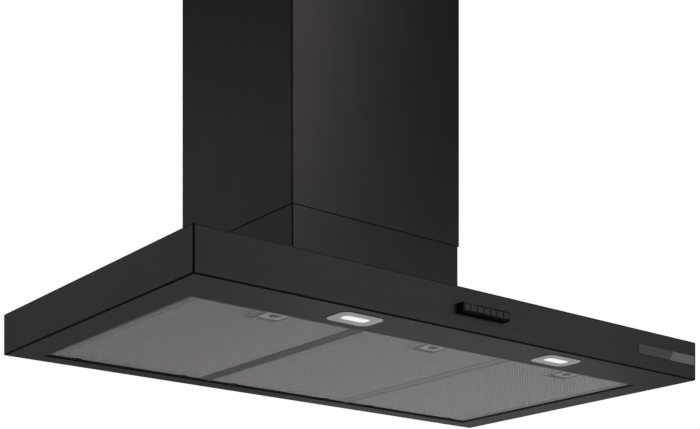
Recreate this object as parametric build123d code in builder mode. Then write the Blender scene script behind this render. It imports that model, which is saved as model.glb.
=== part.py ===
"""Wall-mounted box chimney hood with three swing-down grease filters.

Millimetres, +Z up, +X to the right of a person facing the hood, +Y towards the wall.
The origin is the centre of the canopy's wall face, so the wall is the plane Y = 0,
the room is at -Y and the canopy reaches half its height above and below Z = 0.
"""
from build123d import *
import math
import os

os.makedirs("parts", exist_ok=True)

# ---------------------------------------------------------------- overall sizes
CANOPY_W = 898.0          # a nominal 900 mm hood
CANOPY_D = 500.0
CANOPY_H = 58.0
SHEET = 1.2               # painted canopy sheet
SEAM = 0.4                # open joint between two folded sheets
SLIP = 0.2                # gap round a piece dropped into a pocket
Z_TOP = CANOPY_H / 2
Z_LOW = -CANOPY_H / 2

# ---------------------------------------------------------------- underside
SIDE_BORDER = 46.25       # canopy end to the filter opening
OPEN_W = CANOPY_W - 2 * SIDE_BORDER
OPEN_FRONT = 81.0         # canopy front to the opening
OPEN_BACK = 30.0          # opening to the wall
LIP_H = 12.0              # folded-up edge round the opening
Y_OPEN_F = -CANOPY_D + OPEN_FRONT
Y_OPEN_B = -OPEN_BACK
OPEN_D = Y_OPEN_B - Y_OPEN_F

# ---------------------------------------------------------------- filters
FILTER_COUNT = 3
FILTER_GAP = 1.2          # beside and in front of each filter
FILTER_REAR_GAP = 3.5     # room for the rear edge to roll as it swings
FILTER_T = 9.0
FILTER_RECESS = 0.6       # filter face above the canopy's lower face
FILTER_W = (OPEN_W - (FILTER_COUNT + 1) * FILTER_GAP) / FILTER_COUNT
FILTER_L = OPEN_D - FILTER_GAP - FILTER_REAR_GAP
FILTER_PITCH = FILTER_W + FILTER_GAP
RAIL_NARROW = 4.0         # visible frame at the front, back and left
RAIL_WIDE = 18.5          # cover strip on the right that hides the joint
RAIL_DEEP = 13.0          # frame depth behind the mesh face
SKIN_T = 2.0              # mesh pocket in the frame's lower face
MESH_T = 0.8              # one layer of pressed aluminium mesh
PLEAT_COUNT = 12
FILTER_ZLOW = Z_LOW + FILTER_RECESS
FILTER_ZTOP = FILTER_ZLOW + FILTER_T
FILTER_YF = Y_OPEN_F + FILTER_GAP
FILTER_YB = FILTER_YF + FILTER_L

# ---------------------------------------------------------------- filter hinge
HINGE_IN = 3.5            # hinge axis to the filter's rear edge
HINGE_Y = FILTER_YB - HINGE_IN
HINGE_Z = (FILTER_ZLOW + FILTER_ZTOP) / 2
PIN_R = 1.5
PIN_FIT = 0.05            # radial running clearance of every plain pivot
EAR_T = 3.0
EAR_REACH = 4.0           # ear in front of the hinge axis
EAR_DROP = 3.6            # ear below the hinge axis
NOTCH_W = 8.0
NOTCH_REACH = 6.0         # notch in front of the hinge axis
EAR_INSET = 45.0          # ear centre from the filter's side
RAIL_FOOT = 14.0
RAIL_T = 2.0

# ---------------------------------------------------------------- filter latch
CUP = 38.0                # square latch cup
CUP_H = 7.4
CUP_WALL = 1.5
SLIDER_W = 30.0
SLIDER_L = 25.0
SLIDER_T = 2.6
TONGUE_W = 14.0
TONGUE_T = 2.0
TONGUE_REACH = 0.4        # tongue tip behind the opening's folded edge
LATCH_TRAVEL = 6.0
LATCH_GAP = 0.4           # slider to the cup all round
FINGER_R = 8.0

# ---------------------------------------------------------------- lamps
LAMP_X = 183.5
LAMP_Y = -CANOPY_D + 40.0
LAMP_W = 68.0
LAMP_D = 46.0
LAMP_R = 12.0
LAMP_PROUD = 1.0
LAMP_RIM = 4.0            # bezel overlap on the canopy face
WINDOW_W = 40.0
WINDOW_D = 17.0
WINDOW_R = 7.0
LAMP_BODY_H = 11.0
LENS_T = 2.4
BOARD_T = 1.6
LED_COUNT = 3

# ---------------------------------------------------------------- push buttons
BUTTON_COUNT = 7
BLOCK_W = 86.0
BLOCK_H = 12.6
BLOCK_PROUD = 10.0
BLOCK_WALL = 1.3
BLOCK_TAIL = 14.0         # housing behind the canopy's front face
BUTTON_GAP = 0.45
BUTTON_TRAVEL = 3.0
BUTTON_PROUD = 0.4
BUTTON_L = 12.0
STEM_R = 1.6
FLANGE_W = 106.0
FLANGE_H = 26.0
FLANGE_T = 1.5
CUTOUT_GAP = 0.3

# ---------------------------------------------------------------- front trim strip
TRIM_L = 129.0
TRIM_X1 = CANOPY_W / 2 - 5.0
TRIM_X0 = TRIM_X1 - TRIM_L
TRIM_H = 14.0
TRIM_T = 1.2
TRIM_SPLIT_TOP = TRIM_X1 - 50.0
TRIM_SPLIT_LOW = TRIM_X1 - 59.0

# ---------------------------------------------------------------- chimney
UPPER_W = 313.0
UPPER_D = 287.0
UPPER_H = 580.0
SLEEVE_T = 1.0
SLEEVE_GAP = 0.5          # sliding gap between the two sleeves
SLEEVE_LAP = 12.0         # inward flange along the wall
SEAM_Z = Z_TOP + 142.0    # lower edge of the upper sleeve
LOWER_H = 360.0
LOWER_W = UPPER_W - 2 * (SLEEVE_T + SLEEVE_GAP)
LOWER_FRONT = -UPPER_D + SLEEVE_T + SLEEVE_GAP
LOWER_BACK = -SLEEVE_T - 0.6
BRACKET_H = 40.0
BRACKET_Z = SEAM_Z + UPPER_H - BRACKET_H - 11.0
BRACKET_T = 1.5
BRACKET_HOLE_X = 200.0
BRACKET_HOLE_R = 3.5
BRACKET_ARM = 40.0

# ---------------------------------------------------------------- air box
BOX_H = 260.0
BOX_T = 1.0
BOX_SIDE_GAP = 24.0       # air box to the lower sleeve's sides
BOX_FRONT_GAP = 12.5      # air box to the lower sleeve's front
BOX_FOOT = 7.0
BOX_W = LOWER_W - 2 * SLEEVE_T - 2 * BOX_SIDE_GAP
BOX_FRONT = LOWER_FRONT + SLEEVE_T + BOX_FRONT_GAP
BOX_BACK = -8.0
BOX_Y = (BOX_FRONT + BOX_BACK) / 2
BOX_D = BOX_BACK - BOX_FRONT
Z_BOX = Z_TOP + BOX_H
INTAKE_EDGE = 13.0        # ledge left round the intake hole
INTAKE_W = BOX_W - 2 * INTAKE_EDGE
INTAKE_D = BOX_D - 2 * INTAKE_EDGE

# ---------------------------------------------------------------- wall holes
HANG_X = 600.0
HANG_Z = 10.0
HANG_R = 4.5
PLATE_W = 220.0
PLATE_H = 56.0
PLATE_Z = Z_BOX - 37.0
PLATE_T = 2.0
PLATE_HOLE_X = 180.0
PLATE_HOLE_Z = 26.0
PLATE_HOLE_R = 4.0

# ---------------------------------------------------------------- fan
WHEEL_R = 75.0
WHEEL_W = 108.0
BLADE_IN_R = 61.0
BLADE_COUNT = 32
BLADE_T = 1.2
BLADE_LEAN = 28.0
HUB_X = 5.0
HUB_T = 2.4
HUB_R = 10.0
SHAFT_R = 4.0
SCROLL_R = 86.0           # smallest scroll radius
SCROLL_STEP = 9.0         # growth per quarter turn
SCROLL_HALF = 62.0
SCROLL_T = 1.2
TONGUE_ANGLE = 62.0
INLET_R = 63.0
FAN_Z = Z_TOP + 121.0
MOTOR_R = 36.0
CAPACITOR_R = 15.0
CAPACITOR_H = 46.0
MOTOR_X0 = -96.0
MOTOR_X1 = -8.0

# ---------------------------------------------------------------- duct collar
COLLAR_R = 74.5           # takes a standard 150 mm duct
COLLAR_WALL = 1.5
COLLAR_H = 52.0
COLLAR_Y = BOX_BACK - 80.0
COLLAR_PLATE = 2 * (COLLAR_R + 4.5)
PLATE_THICK = 2.0
FLAP_R = COLLAR_R - COLLAR_WALL - 1.4
FLAP_T = 1.2
FLAP_Z = Z_BOX + 22.0
ROD_R = 2.0
KNUCKLE_R = 3.6
KNUCKLE_PITCH = (FLAP_R - 7.6) / 4
KNUCKLE_L = KNUCKLE_PITCH - 2.0
FLAP_START = 4.4          # plate edge from the hinge axis

# The scroll's outlet is centred under the collar.
OUTLET_OUT = SCROLL_R + 3 * SCROLL_STEP
OUTLET_IN = SCROLL_R * math.cos(math.radians(TONGUE_ANGLE)) + 3.0
FAN_Y = COLLAR_Y - (OUTLET_OUT + OUTLET_IN) / 2

# ---------------------------------------------------------------- electronics
CASE_W = 120.0
CASE_D = 78.0
CASE_H = 34.0
CASE_WALL = 2.0
CASE_Y = BOX_FRONT + 46.0
LID_T = 2.0
GLAND_X = CASE_W / 2 - 14.0
GLAND_THREAD_R = 8.0
GLAND_HEX_R = 11.0
GLAND_BORE_R = 4.5
GLAND_NUT_H = 6.0
GLAND_DOME_H = 11.0

# ---------------------------------------------------------------- screws
SCREW_R = 1.9
SCREW_HOLE_R = 2.0
HEAD_R = 3.6
HEAD_H = 2.2
SEAT = 0.02               # head to the sheet under it
BOX_SCREW_X = 100.0
COLLAR_SCREW = COLLAR_R - 3.5    # each way from the collar's axis


def save(builder, label):
    """Name one finished sub-part and write it as STEP."""
    builder.part.label = label
    export_step(builder.part, f"parts/{label}.step")


def filter_x(index):
    """Centre of filter 0, 1 or 2 across the canopy."""
    return (index - (FILTER_COUNT - 1) / 2) * FILTER_PITCH


def ear_positions():
    """Centres of the hinge ears, two to a filter."""
    reach = FILTER_W / 2 - EAR_INSET
    return [filter_x(i) + side * reach for i in range(FILTER_COUNT) for side in (-1, 1)]


def button_x(index):
    """Centre of one push button across the block."""
    return (index - (BUTTON_COUNT - 1) / 2) * BUTTON_PITCH


BUTTON_PITCH = (BLOCK_W - 2 * BLOCK_WALL - BUTTON_GAP) / BUTTON_COUNT
BUTTON_W = BUTTON_PITCH - BUTTON_GAP
BUTTON_H = BLOCK_H - 2 * BLOCK_WALL - 2 * BUTTON_GAP
MIN_BOTTOM = (Align.CENTER, Align.CENTER, Align.MIN)
FRONT_MIN = (Align.CENTER, Align.MIN, Align.CENTER)

FOOT_L = 150.0            # the lower sleeve's turned-in foot
FOOT_Y = LOWER_FRONT / 2
# The spots where screws pass through two sheets, shared by holes and screws.
BOX_SCREWS = [(side * BOX_SCREW_X, y) for side in (-1, 1) for y in (BOX_FRONT - 4.0, BOX_BACK + 4.0)]
RAIL_SCREWS = [(side * x, Y_OPEN_B + 9.0) for side in (-1, 1) for x in (FILTER_PITCH / 2, OPEN_W / 2 - 72.0)]
COLLAR_SCREWS = [(x * COLLAR_SCREW, COLLAR_Y + y * COLLAR_SCREW) for x in (-1, 1) for y in (-1, 1)]
SLEEVE_SCREWS = [(side * (LOWER_W / 2 - 7.0), FOOT_Y + y) for side in (-1, 1) for y in (-55.0, 55.0)]
BRACKET_SCREW_Y = -22.0

# ================================================================ canopy
# One folded sheet: top, front and both ends. The back and the underside are open.
with BuildPart() as canopy_shell:
    with Locations((0, -CANOPY_D / 2, 0)):
        Box(CANOPY_W, CANOPY_D, CANOPY_H)
    with Locations((0, -CANOPY_D / 2 + SHEET, -SHEET)):
        Box(CANOPY_W - 2 * SHEET, CANOPY_D, CANOPY_H, mode=Mode.SUBTRACT)
    # The intake under the fan's air box.
    with Locations((0, BOX_Y, Z_TOP)):
        Box(INTAKE_W, INTAKE_D, 4 * SHEET, mode=Mode.SUBTRACT)
    # The push-button block passes through the front.
    with Locations((0, -CANOPY_D, 0)):
        Box(BLOCK_W + 2 * CUTOUT_GAP, 4 * SHEET, BLOCK_H + 2 * CUTOUT_GAP, mode=Mode.SUBTRACT)
    with Locations(*[(x, y, Z_TOP) for x, y in BOX_SCREWS + SLEEVE_SCREWS]):
        Cylinder(SCREW_HOLE_R, 4 * SHEET, mode=Mode.SUBTRACT)
save(canopy_shell, "canopy_shell")

# The wall plate closes the back and hangs on two wall screws.
with BuildPart() as back_panel:
    with Locations((0, -SHEET / 2, -SHEET / 2)):
        Box(CANOPY_W - 2 * SHEET - 2 * SLIP, SHEET, CANOPY_H - SHEET - 2 * SLIP)
    with Locations((-HANG_X / 2, 0, HANG_Z), (HANG_X / 2, 0, HANG_Z)):
        Cylinder(HANG_R, 4 * SHEET, rotation=(90, 0, 0), mode=Mode.SUBTRACT)
save(back_panel, "back_panel")

# The lower panel lies inside the shell's walls, level with their edges.
PANEL_W = CANOPY_W - 2 * SHEET - 2 * SEAM
PANEL_YF = -CANOPY_D + SHEET + SEAM
PANEL_YB = -SHEET - SEAM
with BuildPart() as underside_panel:
    with Locations((0, (PANEL_YF + PANEL_YB) / 2, Z_LOW)):
        Box(PANEL_W, PANEL_YB - PANEL_YF, SHEET, align=MIN_BOTTOM)
    with Locations((0, (Y_OPEN_F + Y_OPEN_B - SHEET) / 2, Z_LOW)):
        Box(OPEN_W + 2 * SHEET, OPEN_D + SHEET, LIP_H, align=MIN_BOTTOM)
    with Locations((0, (Y_OPEN_F + Y_OPEN_B) / 2, 0)):
        Box(OPEN_W, OPEN_D, 3 * CANOPY_H, mode=Mode.SUBTRACT)
    # Stiffening edges folded up along the front and both ends.
    with Locations((0, PANEL_YF + SHEET / 2, Z_LOW)):
        Box(PANEL_W, SHEET, LIP_H, align=MIN_BOTTOM)
    with Locations(((PANEL_W - SHEET) / 2, (PANEL_YF + PANEL_YB) / 2, Z_LOW),
                   (-(PANEL_W - SHEET) / 2, (PANEL_YF + PANEL_YB) / 2, Z_LOW)):
        Box(SHEET, PANEL_YB - PANEL_YF, LIP_H, align=MIN_BOTTOM)
    # Lamp cut-outs.
    with BuildSketch(Plane.XY.offset(Z_LOW - SHEET)):
        with Locations((-LAMP_X, LAMP_Y), (LAMP_X, LAMP_Y)):
            RectangleRounded(LAMP_W - 2 * LAMP_RIM, LAMP_D - 2 * LAMP_RIM, LAMP_R - LAMP_RIM)
    extrude(amount=3 * SHEET, mode=Mode.SUBTRACT)
    with Locations(*[(x, y, Z_LOW) for x, y in RAIL_SCREWS]):
        Cylinder(SCREW_HOLE_R, 4 * SHEET, mode=Mode.SUBTRACT)
save(underside_panel, "underside_panel")

# The hinge rail is the opening's back wall and carries two ears for each filter.
RAIL_W = OPEN_W
RAIL_H = LIP_H + 4.0
with BuildPart() as hinge_rail:
    with Locations((0, Y_OPEN_B + RAIL_T / 2, Z_LOW + SHEET)):
        Box(RAIL_W, RAIL_T, RAIL_H, align=MIN_BOTTOM)
    with Locations((0, Y_OPEN_B + RAIL_FOOT / 2, Z_LOW + SHEET)):
        Box(RAIL_W, RAIL_FOOT, RAIL_T, align=MIN_BOTTOM)
    for x in ear_positions():
        with BuildSketch(Plane.YZ.offset(x - EAR_T / 2)):
            with Locations((HINGE_Y, HINGE_Z)):
                Circle(EAR_DROP)
            with Locations((HINGE_Y, HINGE_Z)):
                Rectangle(Y_OPEN_B - HINGE_Y, 2 * EAR_DROP, align=(Align.MIN, Align.CENTER))
        extrude(amount=EAR_T)
    for x in ear_positions():
        with Locations((x, HINGE_Y, HINGE_Z)):
            Cylinder(PIN_R + PIN_FIT, 3 * EAR_T, rotation=(0, 90, 0), mode=Mode.SUBTRACT)
    with Locations(*[(x, y, Z_LOW + SHEET) for x, y in RAIL_SCREWS]):
        Cylinder(SCREW_HOLE_R, 4 * RAIL_T, mode=Mode.SUBTRACT)
save(hinge_rail, "hinge_rail")

# ================================================================ grease filters
# Latch cup position inside each filter, measured to the filter's front edge.
CUP_Y = FILTER_YF + RAIL_NARROW / 2 + CUP / 2
SLIDER_Y0 = CUP_Y - CUP / 2 + CUP_WALL + LATCH_GAP
SLIDER_Z = FILTER_ZLOW + 0.5
TONGUE_Z = SLIDER_Z + SLIDER_T / 2
for index in range(FILTER_COUNT):
    fx = filter_x(index)
    label = f"filter_{index + 1}"
    y_mid = (FILTER_YF + FILTER_YB) / 2
    skin_w = FILTER_W - RAIL_NARROW - RAIL_WIDE
    skin_x = fx + (RAIL_NARROW - RAIL_WIDE) / 2
    core_w = FILTER_W - 2 * RAIL_WIDE
    core_l = FILTER_L - 2 * RAIL_DEEP

    # Frame: a shallow pocket for the mesh skin, a window for the mesh pack, two
    # notches for the hinge ears, and the hinge pins crossing those notches.
    with BuildPart() as frame:
        with Locations((fx, y_mid, FILTER_ZLOW)):
            Box(FILTER_W, FILTER_L, FILTER_T, align=MIN_BOTTOM)
        with Locations((skin_x, y_mid, FILTER_ZLOW)):
            Box(skin_w, FILTER_L - 2 * RAIL_NARROW, 2 * SKIN_T, mode=Mode.SUBTRACT)
        with Locations((fx, y_mid, FILTER_ZLOW)):
            Box(core_w, core_l, 4 * FILTER_T, mode=Mode.SUBTRACT)
        with Locations((fx, CUP_Y, FILTER_ZLOW)):
            Box(CUP + 2 * SLIP, CUP + 2 * SLIP, 2 * (CUP_H + SLIP), mode=Mode.SUBTRACT)
        with Locations((fx, FILTER_YF, TONGUE_Z)):
            Box(TONGUE_W + 2 * LATCH_GAP, 2 * RAIL_DEEP, TONGUE_T + 2 * LATCH_GAP,
                mode=Mode.SUBTRACT)
        for x in ear_positions()[2 * index:2 * index + 2]:
            with Locations((x, HINGE_Y - NOTCH_REACH, HINGE_Z)):
                Box(NOTCH_W, NOTCH_REACH + 2 * HINGE_IN, 2 * FILTER_T, align=FRONT_MIN,
                    mode=Mode.SUBTRACT)
            with Locations((x, HINGE_Y, HINGE_Z)):
                Cylinder(PIN_R, NOTCH_W + 2.0, rotation=(0, 90, 0))
        outer = frame.edges().filter_by(Axis.Z).sort_by(Axis.Y)
        fillet(outer.filter_by_position(Axis.Y, FILTER_YF - 0.1, FILTER_YF + 0.1)
               .filter_by(lambda e: abs(abs(e.center().X - fx) - FILTER_W / 2) < 0.01), 1.5)
    save(frame, f"{label}_frame")

    # Mesh pack: a lower skin, an upper skin and the pleats that hold them apart.
    with BuildPart() as mesh:
        with Locations((skin_x, y_mid, FILTER_ZLOW + SLIP)):
            Box(skin_w - 2 * SLIP, FILTER_L - 2 * RAIL_NARROW - 2 * SLIP, MESH_T,
                align=MIN_BOTTOM)
        with Locations((fx, y_mid, FILTER_ZLOW + FILTER_T - SLIP - MESH_T)):
            Box(core_w - 2 * SLIP, core_l - 2 * SLIP, MESH_T, align=MIN_BOTTOM)
        with Locations((fx, y_mid, FILTER_ZLOW + SLIP)):
            with GridLocations((core_w - 3.0) / (PLEAT_COUNT - 1), 0, PLEAT_COUNT, 1):
                Box(MESH_T, core_l - 2 * SLIP, FILTER_T - 2 * SLIP, align=MIN_BOTTOM)
        with Locations((fx, CUP_Y, FILTER_ZLOW)):
            Box(CUP + 4 * SLIP, CUP + 4 * SLIP, 4 * FILTER_T, mode=Mode.SUBTRACT)
        with Locations((fx, CUP_Y - CUP / 2 - RAIL_NARROW, FILTER_ZLOW)):
            Box(TONGUE_W + 4 * SLIP, 4 * RAIL_NARROW, 4 * FILTER_T, mode=Mode.SUBTRACT)
        for x in ear_positions()[2 * index:2 * index + 2]:
            with Locations((x, HINGE_Y - NOTCH_REACH, HINGE_Z)):
                Box(NOTCH_W + 2 * SLIP, NOTCH_REACH + 2 * HINGE_IN, 2 * FILTER_T, align=FRONT_MIN,
                    mode=Mode.SUBTRACT)
    save(mesh, f"{label}_mesh")

    # Latch cup: an open box pressed up into the filter from below.
    with BuildPart() as cup:
        with Locations((fx, CUP_Y, FILTER_ZLOW - LATCH_GAP)):
            Box(CUP, CUP, CUP_H + LATCH_GAP, align=MIN_BOTTOM)
        with Locations((fx, CUP_Y, FILTER_ZLOW - 2 * LATCH_GAP)):
            Box(CUP - 2 * CUP_WALL, CUP - 2 * CUP_WALL, CUP_H - CUP_WALL + 2 * LATCH_GAP,
                align=MIN_BOTTOM, mode=Mode.SUBTRACT)
        with Locations((fx, CUP_Y - CUP / 2, TONGUE_Z)):
            Box(TONGUE_W + 2 * LATCH_GAP, 4 * CUP_WALL, TONGUE_T + 2 * LATCH_GAP,
                mode=Mode.SUBTRACT)
        lower = cup.faces().sort_by(Axis.Z)[0]
        chamfer(lower.outer_wire().edges(), 0.4)
    save(cup, f"{label}_latch_cup")

    # Slider: finger plate with a half-moon grip, and the tongue that reaches forward.
    with BuildPart() as slider:
        with BuildSketch(Plane.XY.offset(SLIDER_Z)):
            with Locations((fx, SLIDER_Y0)):
                Rectangle(SLIDER_W, SLIDER_L, align=(Align.CENTER, Align.MIN))
            with Locations((fx, SLIDER_Y0 + 5.0)):
                Rectangle(2 * FINGER_R, SLIDER_L / 4, align=(Align.CENTER, Align.MIN),
                          mode=Mode.SUBTRACT)
            with Locations((fx, SLIDER_Y0 + 5.0 + SLIDER_L / 4)):
                Circle(FINGER_R, mode=Mode.SUBTRACT)
            with Locations((fx, SLIDER_Y0)):
                Rectangle(SLIDER_W, 5.0, align=(Align.CENTER, Align.MIN))
        extrude(amount=SLIDER_T)
        # A back wall behind the grip for the finger to pull on.
        with Locations((fx, SLIDER_Y0 + SLIDER_L - 2.0, SLIDER_Z)):
            Box(SLIDER_W, 2.0, CUP_H - CUP_WALL - 1.5, align=(Align.CENTER, Align.MIN, Align.MIN))
        with Locations((fx, Y_OPEN_F + TONGUE_REACH, TONGUE_Z)):
            Box(TONGUE_W, SLIDER_Y0 - Y_OPEN_F - TONGUE_REACH + 1.0, TONGUE_T, align=FRONT_MIN)
    save(slider, f"{label}_latch_slider")

# ================================================================ lamps
for side, label in ((-1, "lamp_left"), (1, "lamp_right")):
    lx = side * LAMP_X
    lens_z = Z_LOW - LAMP_PROUD + 0.3
    # Bezel: rounded face plate and a skirt through the canopy's cut-out.
    with BuildPart() as bezel:
        with BuildSketch(Plane.XY.offset(Z_LOW - LAMP_PROUD)):
            with Locations((lx, LAMP_Y)):
                RectangleRounded(LAMP_W, LAMP_D, LAMP_R)
        extrude(amount=LAMP_PROUD - 0.05)
        with BuildSketch(Plane.XY.offset(Z_LOW - LAMP_PROUD)):
            with Locations((lx, LAMP_Y)):
                RectangleRounded(LAMP_W - 2 * LAMP_RIM - 2 * SEAM, LAMP_D - 2 * LAMP_RIM - 2 * SEAM,
                                 LAMP_R - LAMP_RIM - SEAM)
        extrude(amount=LAMP_BODY_H)
        fillet(bezel.faces().sort_by(Axis.Z)[0].outer_wire().edges(), 0.6)
        with BuildSketch(Plane.XY.offset(Z_LOW - LAMP_PROUD)):
            with Locations((lx, LAMP_Y)):
                RectangleRounded(WINDOW_W + 2 * SLIP, WINDOW_D + 2 * SLIP, WINDOW_R)
        extrude(amount=LENS_T + 0.6, mode=Mode.SUBTRACT)
        # A flared light well above the window.
        with BuildSketch(Plane.XY.offset(Z_LOW - LAMP_PROUD + LENS_T + 0.6)):
            with Locations((lx, LAMP_Y)):
                RectangleRounded(WINDOW_W - 2.0, WINDOW_D - 2.0, WINDOW_R - 1.0)
        extrude(amount=LAMP_BODY_H, mode=Mode.SUBTRACT)
    save(bezel, f"{label}_bezel")

    with BuildPart() as lens:
        with BuildSketch(Plane.XY.offset(lens_z)):
            with Locations((lx, LAMP_Y)):
                RectangleRounded(WINDOW_W, WINDOW_D, WINDOW_R - SLIP)
        extrude(amount=LENS_T)
    save(lens, f"{label}_lens")

    # LED board lying across the top of the light well, with a cooling plate on it.
    board_z = Z_LOW - LAMP_PROUD + LAMP_BODY_H + 0.05
    with BuildPart() as board:
        with Locations((lx, LAMP_Y, board_z)):
            Box(LAMP_W - 12.0, LAMP_D - 14.0, BOARD_T, align=MIN_BOTTOM)
        with Locations((lx, LAMP_Y, board_z + BOARD_T)):
            Box(LAMP_W - 18.0, LAMP_D - 20.0, 5.0, align=MIN_BOTTOM)
        with Locations((lx, LAMP_Y, board_z + BOARD_T + 5.0)):
            with GridLocations(8.0, 0, 5, 1):
                Box(4.0, LAMP_D - 18.0, 6.0, mode=Mode.SUBTRACT)
        with Locations((lx, LAMP_Y, board_z)):
            with GridLocations(11.0, 0, LED_COUNT, 1):
                Box(5.0, 5.0, 1.4, align=(Align.CENTER, Align.CENTER, Align.MAX))
    save(board, f"{label}_board")

# ================================================================ push-button block
# Housing: a rectangular sleeve with a flange that clamps behind the canopy's front.
BLOCK_LEN = BLOCK_PROUD + BLOCK_TAIL
with BuildPart() as button_housing:
    with Locations((0, -CANOPY_D - BLOCK_PROUD, 0)):
        Box(BLOCK_W, BLOCK_LEN, BLOCK_H, align=FRONT_MIN)
    with Locations((0, -CANOPY_D + SHEET + SLIP, 0)):
        Box(FLANGE_W, FLANGE_T, FLANGE_H, align=FRONT_MIN)
    with Locations((0, -CANOPY_D - BLOCK_PROUD - 1.0, 0)):
        Box(BLOCK_W - 2 * BLOCK_WALL, BLOCK_LEN + 2.0, BLOCK_H - 2 * BLOCK_WALL,
            align=FRONT_MIN, mode=Mode.SUBTRACT)
save(button_housing, "button_housing")

# Each button is a cap with a round stem that reaches its switch.
BUTTON_Y0 = -CANOPY_D - BLOCK_PROUD - BUTTON_PROUD
SWITCH_Y = -CANOPY_D + BLOCK_TAIL + 6.0
STEM_END = SWITCH_Y - BUTTON_TRAVEL - 0.5
for index in range(BUTTON_COUNT):
    with BuildPart() as button:
        with Locations((button_x(index), BUTTON_Y0, 0)):
            Box(BUTTON_W, BUTTON_L, BUTTON_H, align=FRONT_MIN)
        front = button.faces().sort_by(Axis.Y)[0]
        fillet(front.edges(), 0.35)
        with Locations((button_x(index), (BUTTON_Y0 + BUTTON_L + STEM_END) / 2, 0)):
            Cylinder(STEM_R, STEM_END - BUTTON_Y0 - BUTTON_L + 0.4, rotation=(90, 0, 0))
    save(button, f"button_{index + 1}")

# Switch board behind the block: one switch body for each button.
with BuildPart() as switch_board:
    with Locations((0, SWITCH_Y + 5.0, 0)):
        Box(FLANGE_W, BOARD_T, FLANGE_H, align=FRONT_MIN)
    with Locations(*[(button_x(i), SWITCH_Y, 0) for i in range(BUTTON_COUNT)]):
        Box(BUTTON_PITCH - 1.5, 5.0, 8.0, align=FRONT_MIN)
    # Two posts carry the board on the housing's flange.
    post_y = -CANOPY_D + SHEET + SLIP + FLANGE_T
    with Locations((-FLANGE_W / 2 + 4.5, post_y, 0), (FLANGE_W / 2 - 4.5, post_y, 0)):
        Box(6.0, SWITCH_Y + 5.0 - post_y, 6.0, align=FRONT_MIN)
save(switch_board, "switch_board")

# Trim strip stuck to the front's right end: two plates that meet on a slant.
with BuildPart() as trim_strip:
    with BuildSketch(Plane.XZ.offset(CANOPY_D)):
        with BuildLine():
            Polyline((TRIM_X0, -TRIM_H / 2), (TRIM_SPLIT_LOW, -TRIM_H / 2),
                     (TRIM_SPLIT_TOP, TRIM_H / 2), (TRIM_X0, TRIM_H / 2), close=True)
        make_face()
    extrude(amount=TRIM_T)
    with BuildSketch(Plane.XZ.offset(CANOPY_D)):
        with BuildLine():
            Polyline((TRIM_SPLIT_LOW + SEAM, -TRIM_H / 2), (TRIM_X1, -TRIM_H / 2),
                     (TRIM_X1, TRIM_H / 2), (TRIM_SPLIT_TOP + SEAM, TRIM_H / 2), close=True)
        make_face()
    extrude(amount=TRIM_T)
save(trim_strip, "trim_strip")


# ================================================================ chimney sleeves
def sleeve(width, y_front, y_back, z_low, height):
    """A three-sided sheet sleeve with narrow flanges turned in along the wall."""
    with BuildSketch(Plane.XY.offset(z_low)) as profile:
        with Locations((0, (y_front + y_back) / 2)):
            Rectangle(width, y_back - y_front)
            Rectangle(width - 2 * SLEEVE_T, y_back - y_front - 2 * SLEEVE_T, mode=Mode.SUBTRACT)
        with Locations((0, y_back)):
            Rectangle(width - 2 * SLEEVE_LAP, 4 * SLEEVE_T, mode=Mode.SUBTRACT)
    extrude(profile.sketch, amount=height)


with BuildPart() as lower_sleeve:
    sleeve(LOWER_W, LOWER_FRONT, LOWER_BACK, Z_TOP, LOWER_H)
    # Two feet turned in at the bottom take screws up through the canopy's top.
    with Locations(*[(side * (LOWER_W / 2 - 6.5), FOOT_Y, Z_TOP) for side in (-1, 1)]):
        Box(12.0, FOOT_L, SLEEVE_T, align=MIN_BOTTOM)
    with Locations(*[(x, y, Z_TOP) for x, y in SLEEVE_SCREWS]):
        Cylinder(SCREW_HOLE_R, 4 * SLEEVE_T, mode=Mode.SUBTRACT)
save(lower_sleeve, "lower_sleeve")

with BuildPart() as upper_sleeve:
    sleeve(UPPER_W, -UPPER_D, 0.0, SEAM_Z, UPPER_H)
    with Locations((0, BRACKET_SCREW_Y, BRACKET_Z + BRACKET_H / 2)):
        Cylinder(SCREW_HOLE_R, UPPER_W + 10.0, rotation=(0, 90, 0), mode=Mode.SUBTRACT)
save(upper_sleeve, "upper_sleeve")

# The ceiling bracket is screwed to the wall and holds the upper sleeve's sides.
ARM_X = UPPER_W / 2 - SLEEVE_T - SLIP
with BuildPart() as ceiling_bracket:
    with Locations((0, -SLEEVE_T - SLIP - BRACKET_T, BRACKET_Z)):
        Box(2 * ARM_X, BRACKET_T, BRACKET_H, align=(Align.CENTER, Align.MIN, Align.MIN))
    with Locations((0, -SLEEVE_T - SLIP - BRACKET_ARM, BRACKET_Z)):
        Box(2 * ARM_X, BRACKET_ARM, BRACKET_H, align=(Align.CENTER, Align.MIN, Align.MIN))
    with Locations((0, -SLEEVE_T - SLIP - BRACKET_ARM - BRACKET_T, BRACKET_Z)):
        Box(2 * (ARM_X - BRACKET_T), BRACKET_ARM, 3 * BRACKET_H,
            align=(Align.CENTER, Align.MIN, Align.CENTER), mode=Mode.SUBTRACT)
    with Locations((-BRACKET_HOLE_X / 2, 0, BRACKET_Z + BRACKET_H / 2),
                   (BRACKET_HOLE_X / 2, 0, BRACKET_Z + BRACKET_H / 2)):
        Cylinder(BRACKET_HOLE_R, 20.0, rotation=(90, 0, 0), mode=Mode.SUBTRACT)
    with Locations((0, BRACKET_SCREW_Y, BRACKET_Z + BRACKET_H / 2)):
        Cylinder(SCREW_HOLE_R, UPPER_W + 10.0, rotation=(0, 90, 0), mode=Mode.SUBTRACT)
save(ceiling_bracket, "ceiling_bracket")

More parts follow.
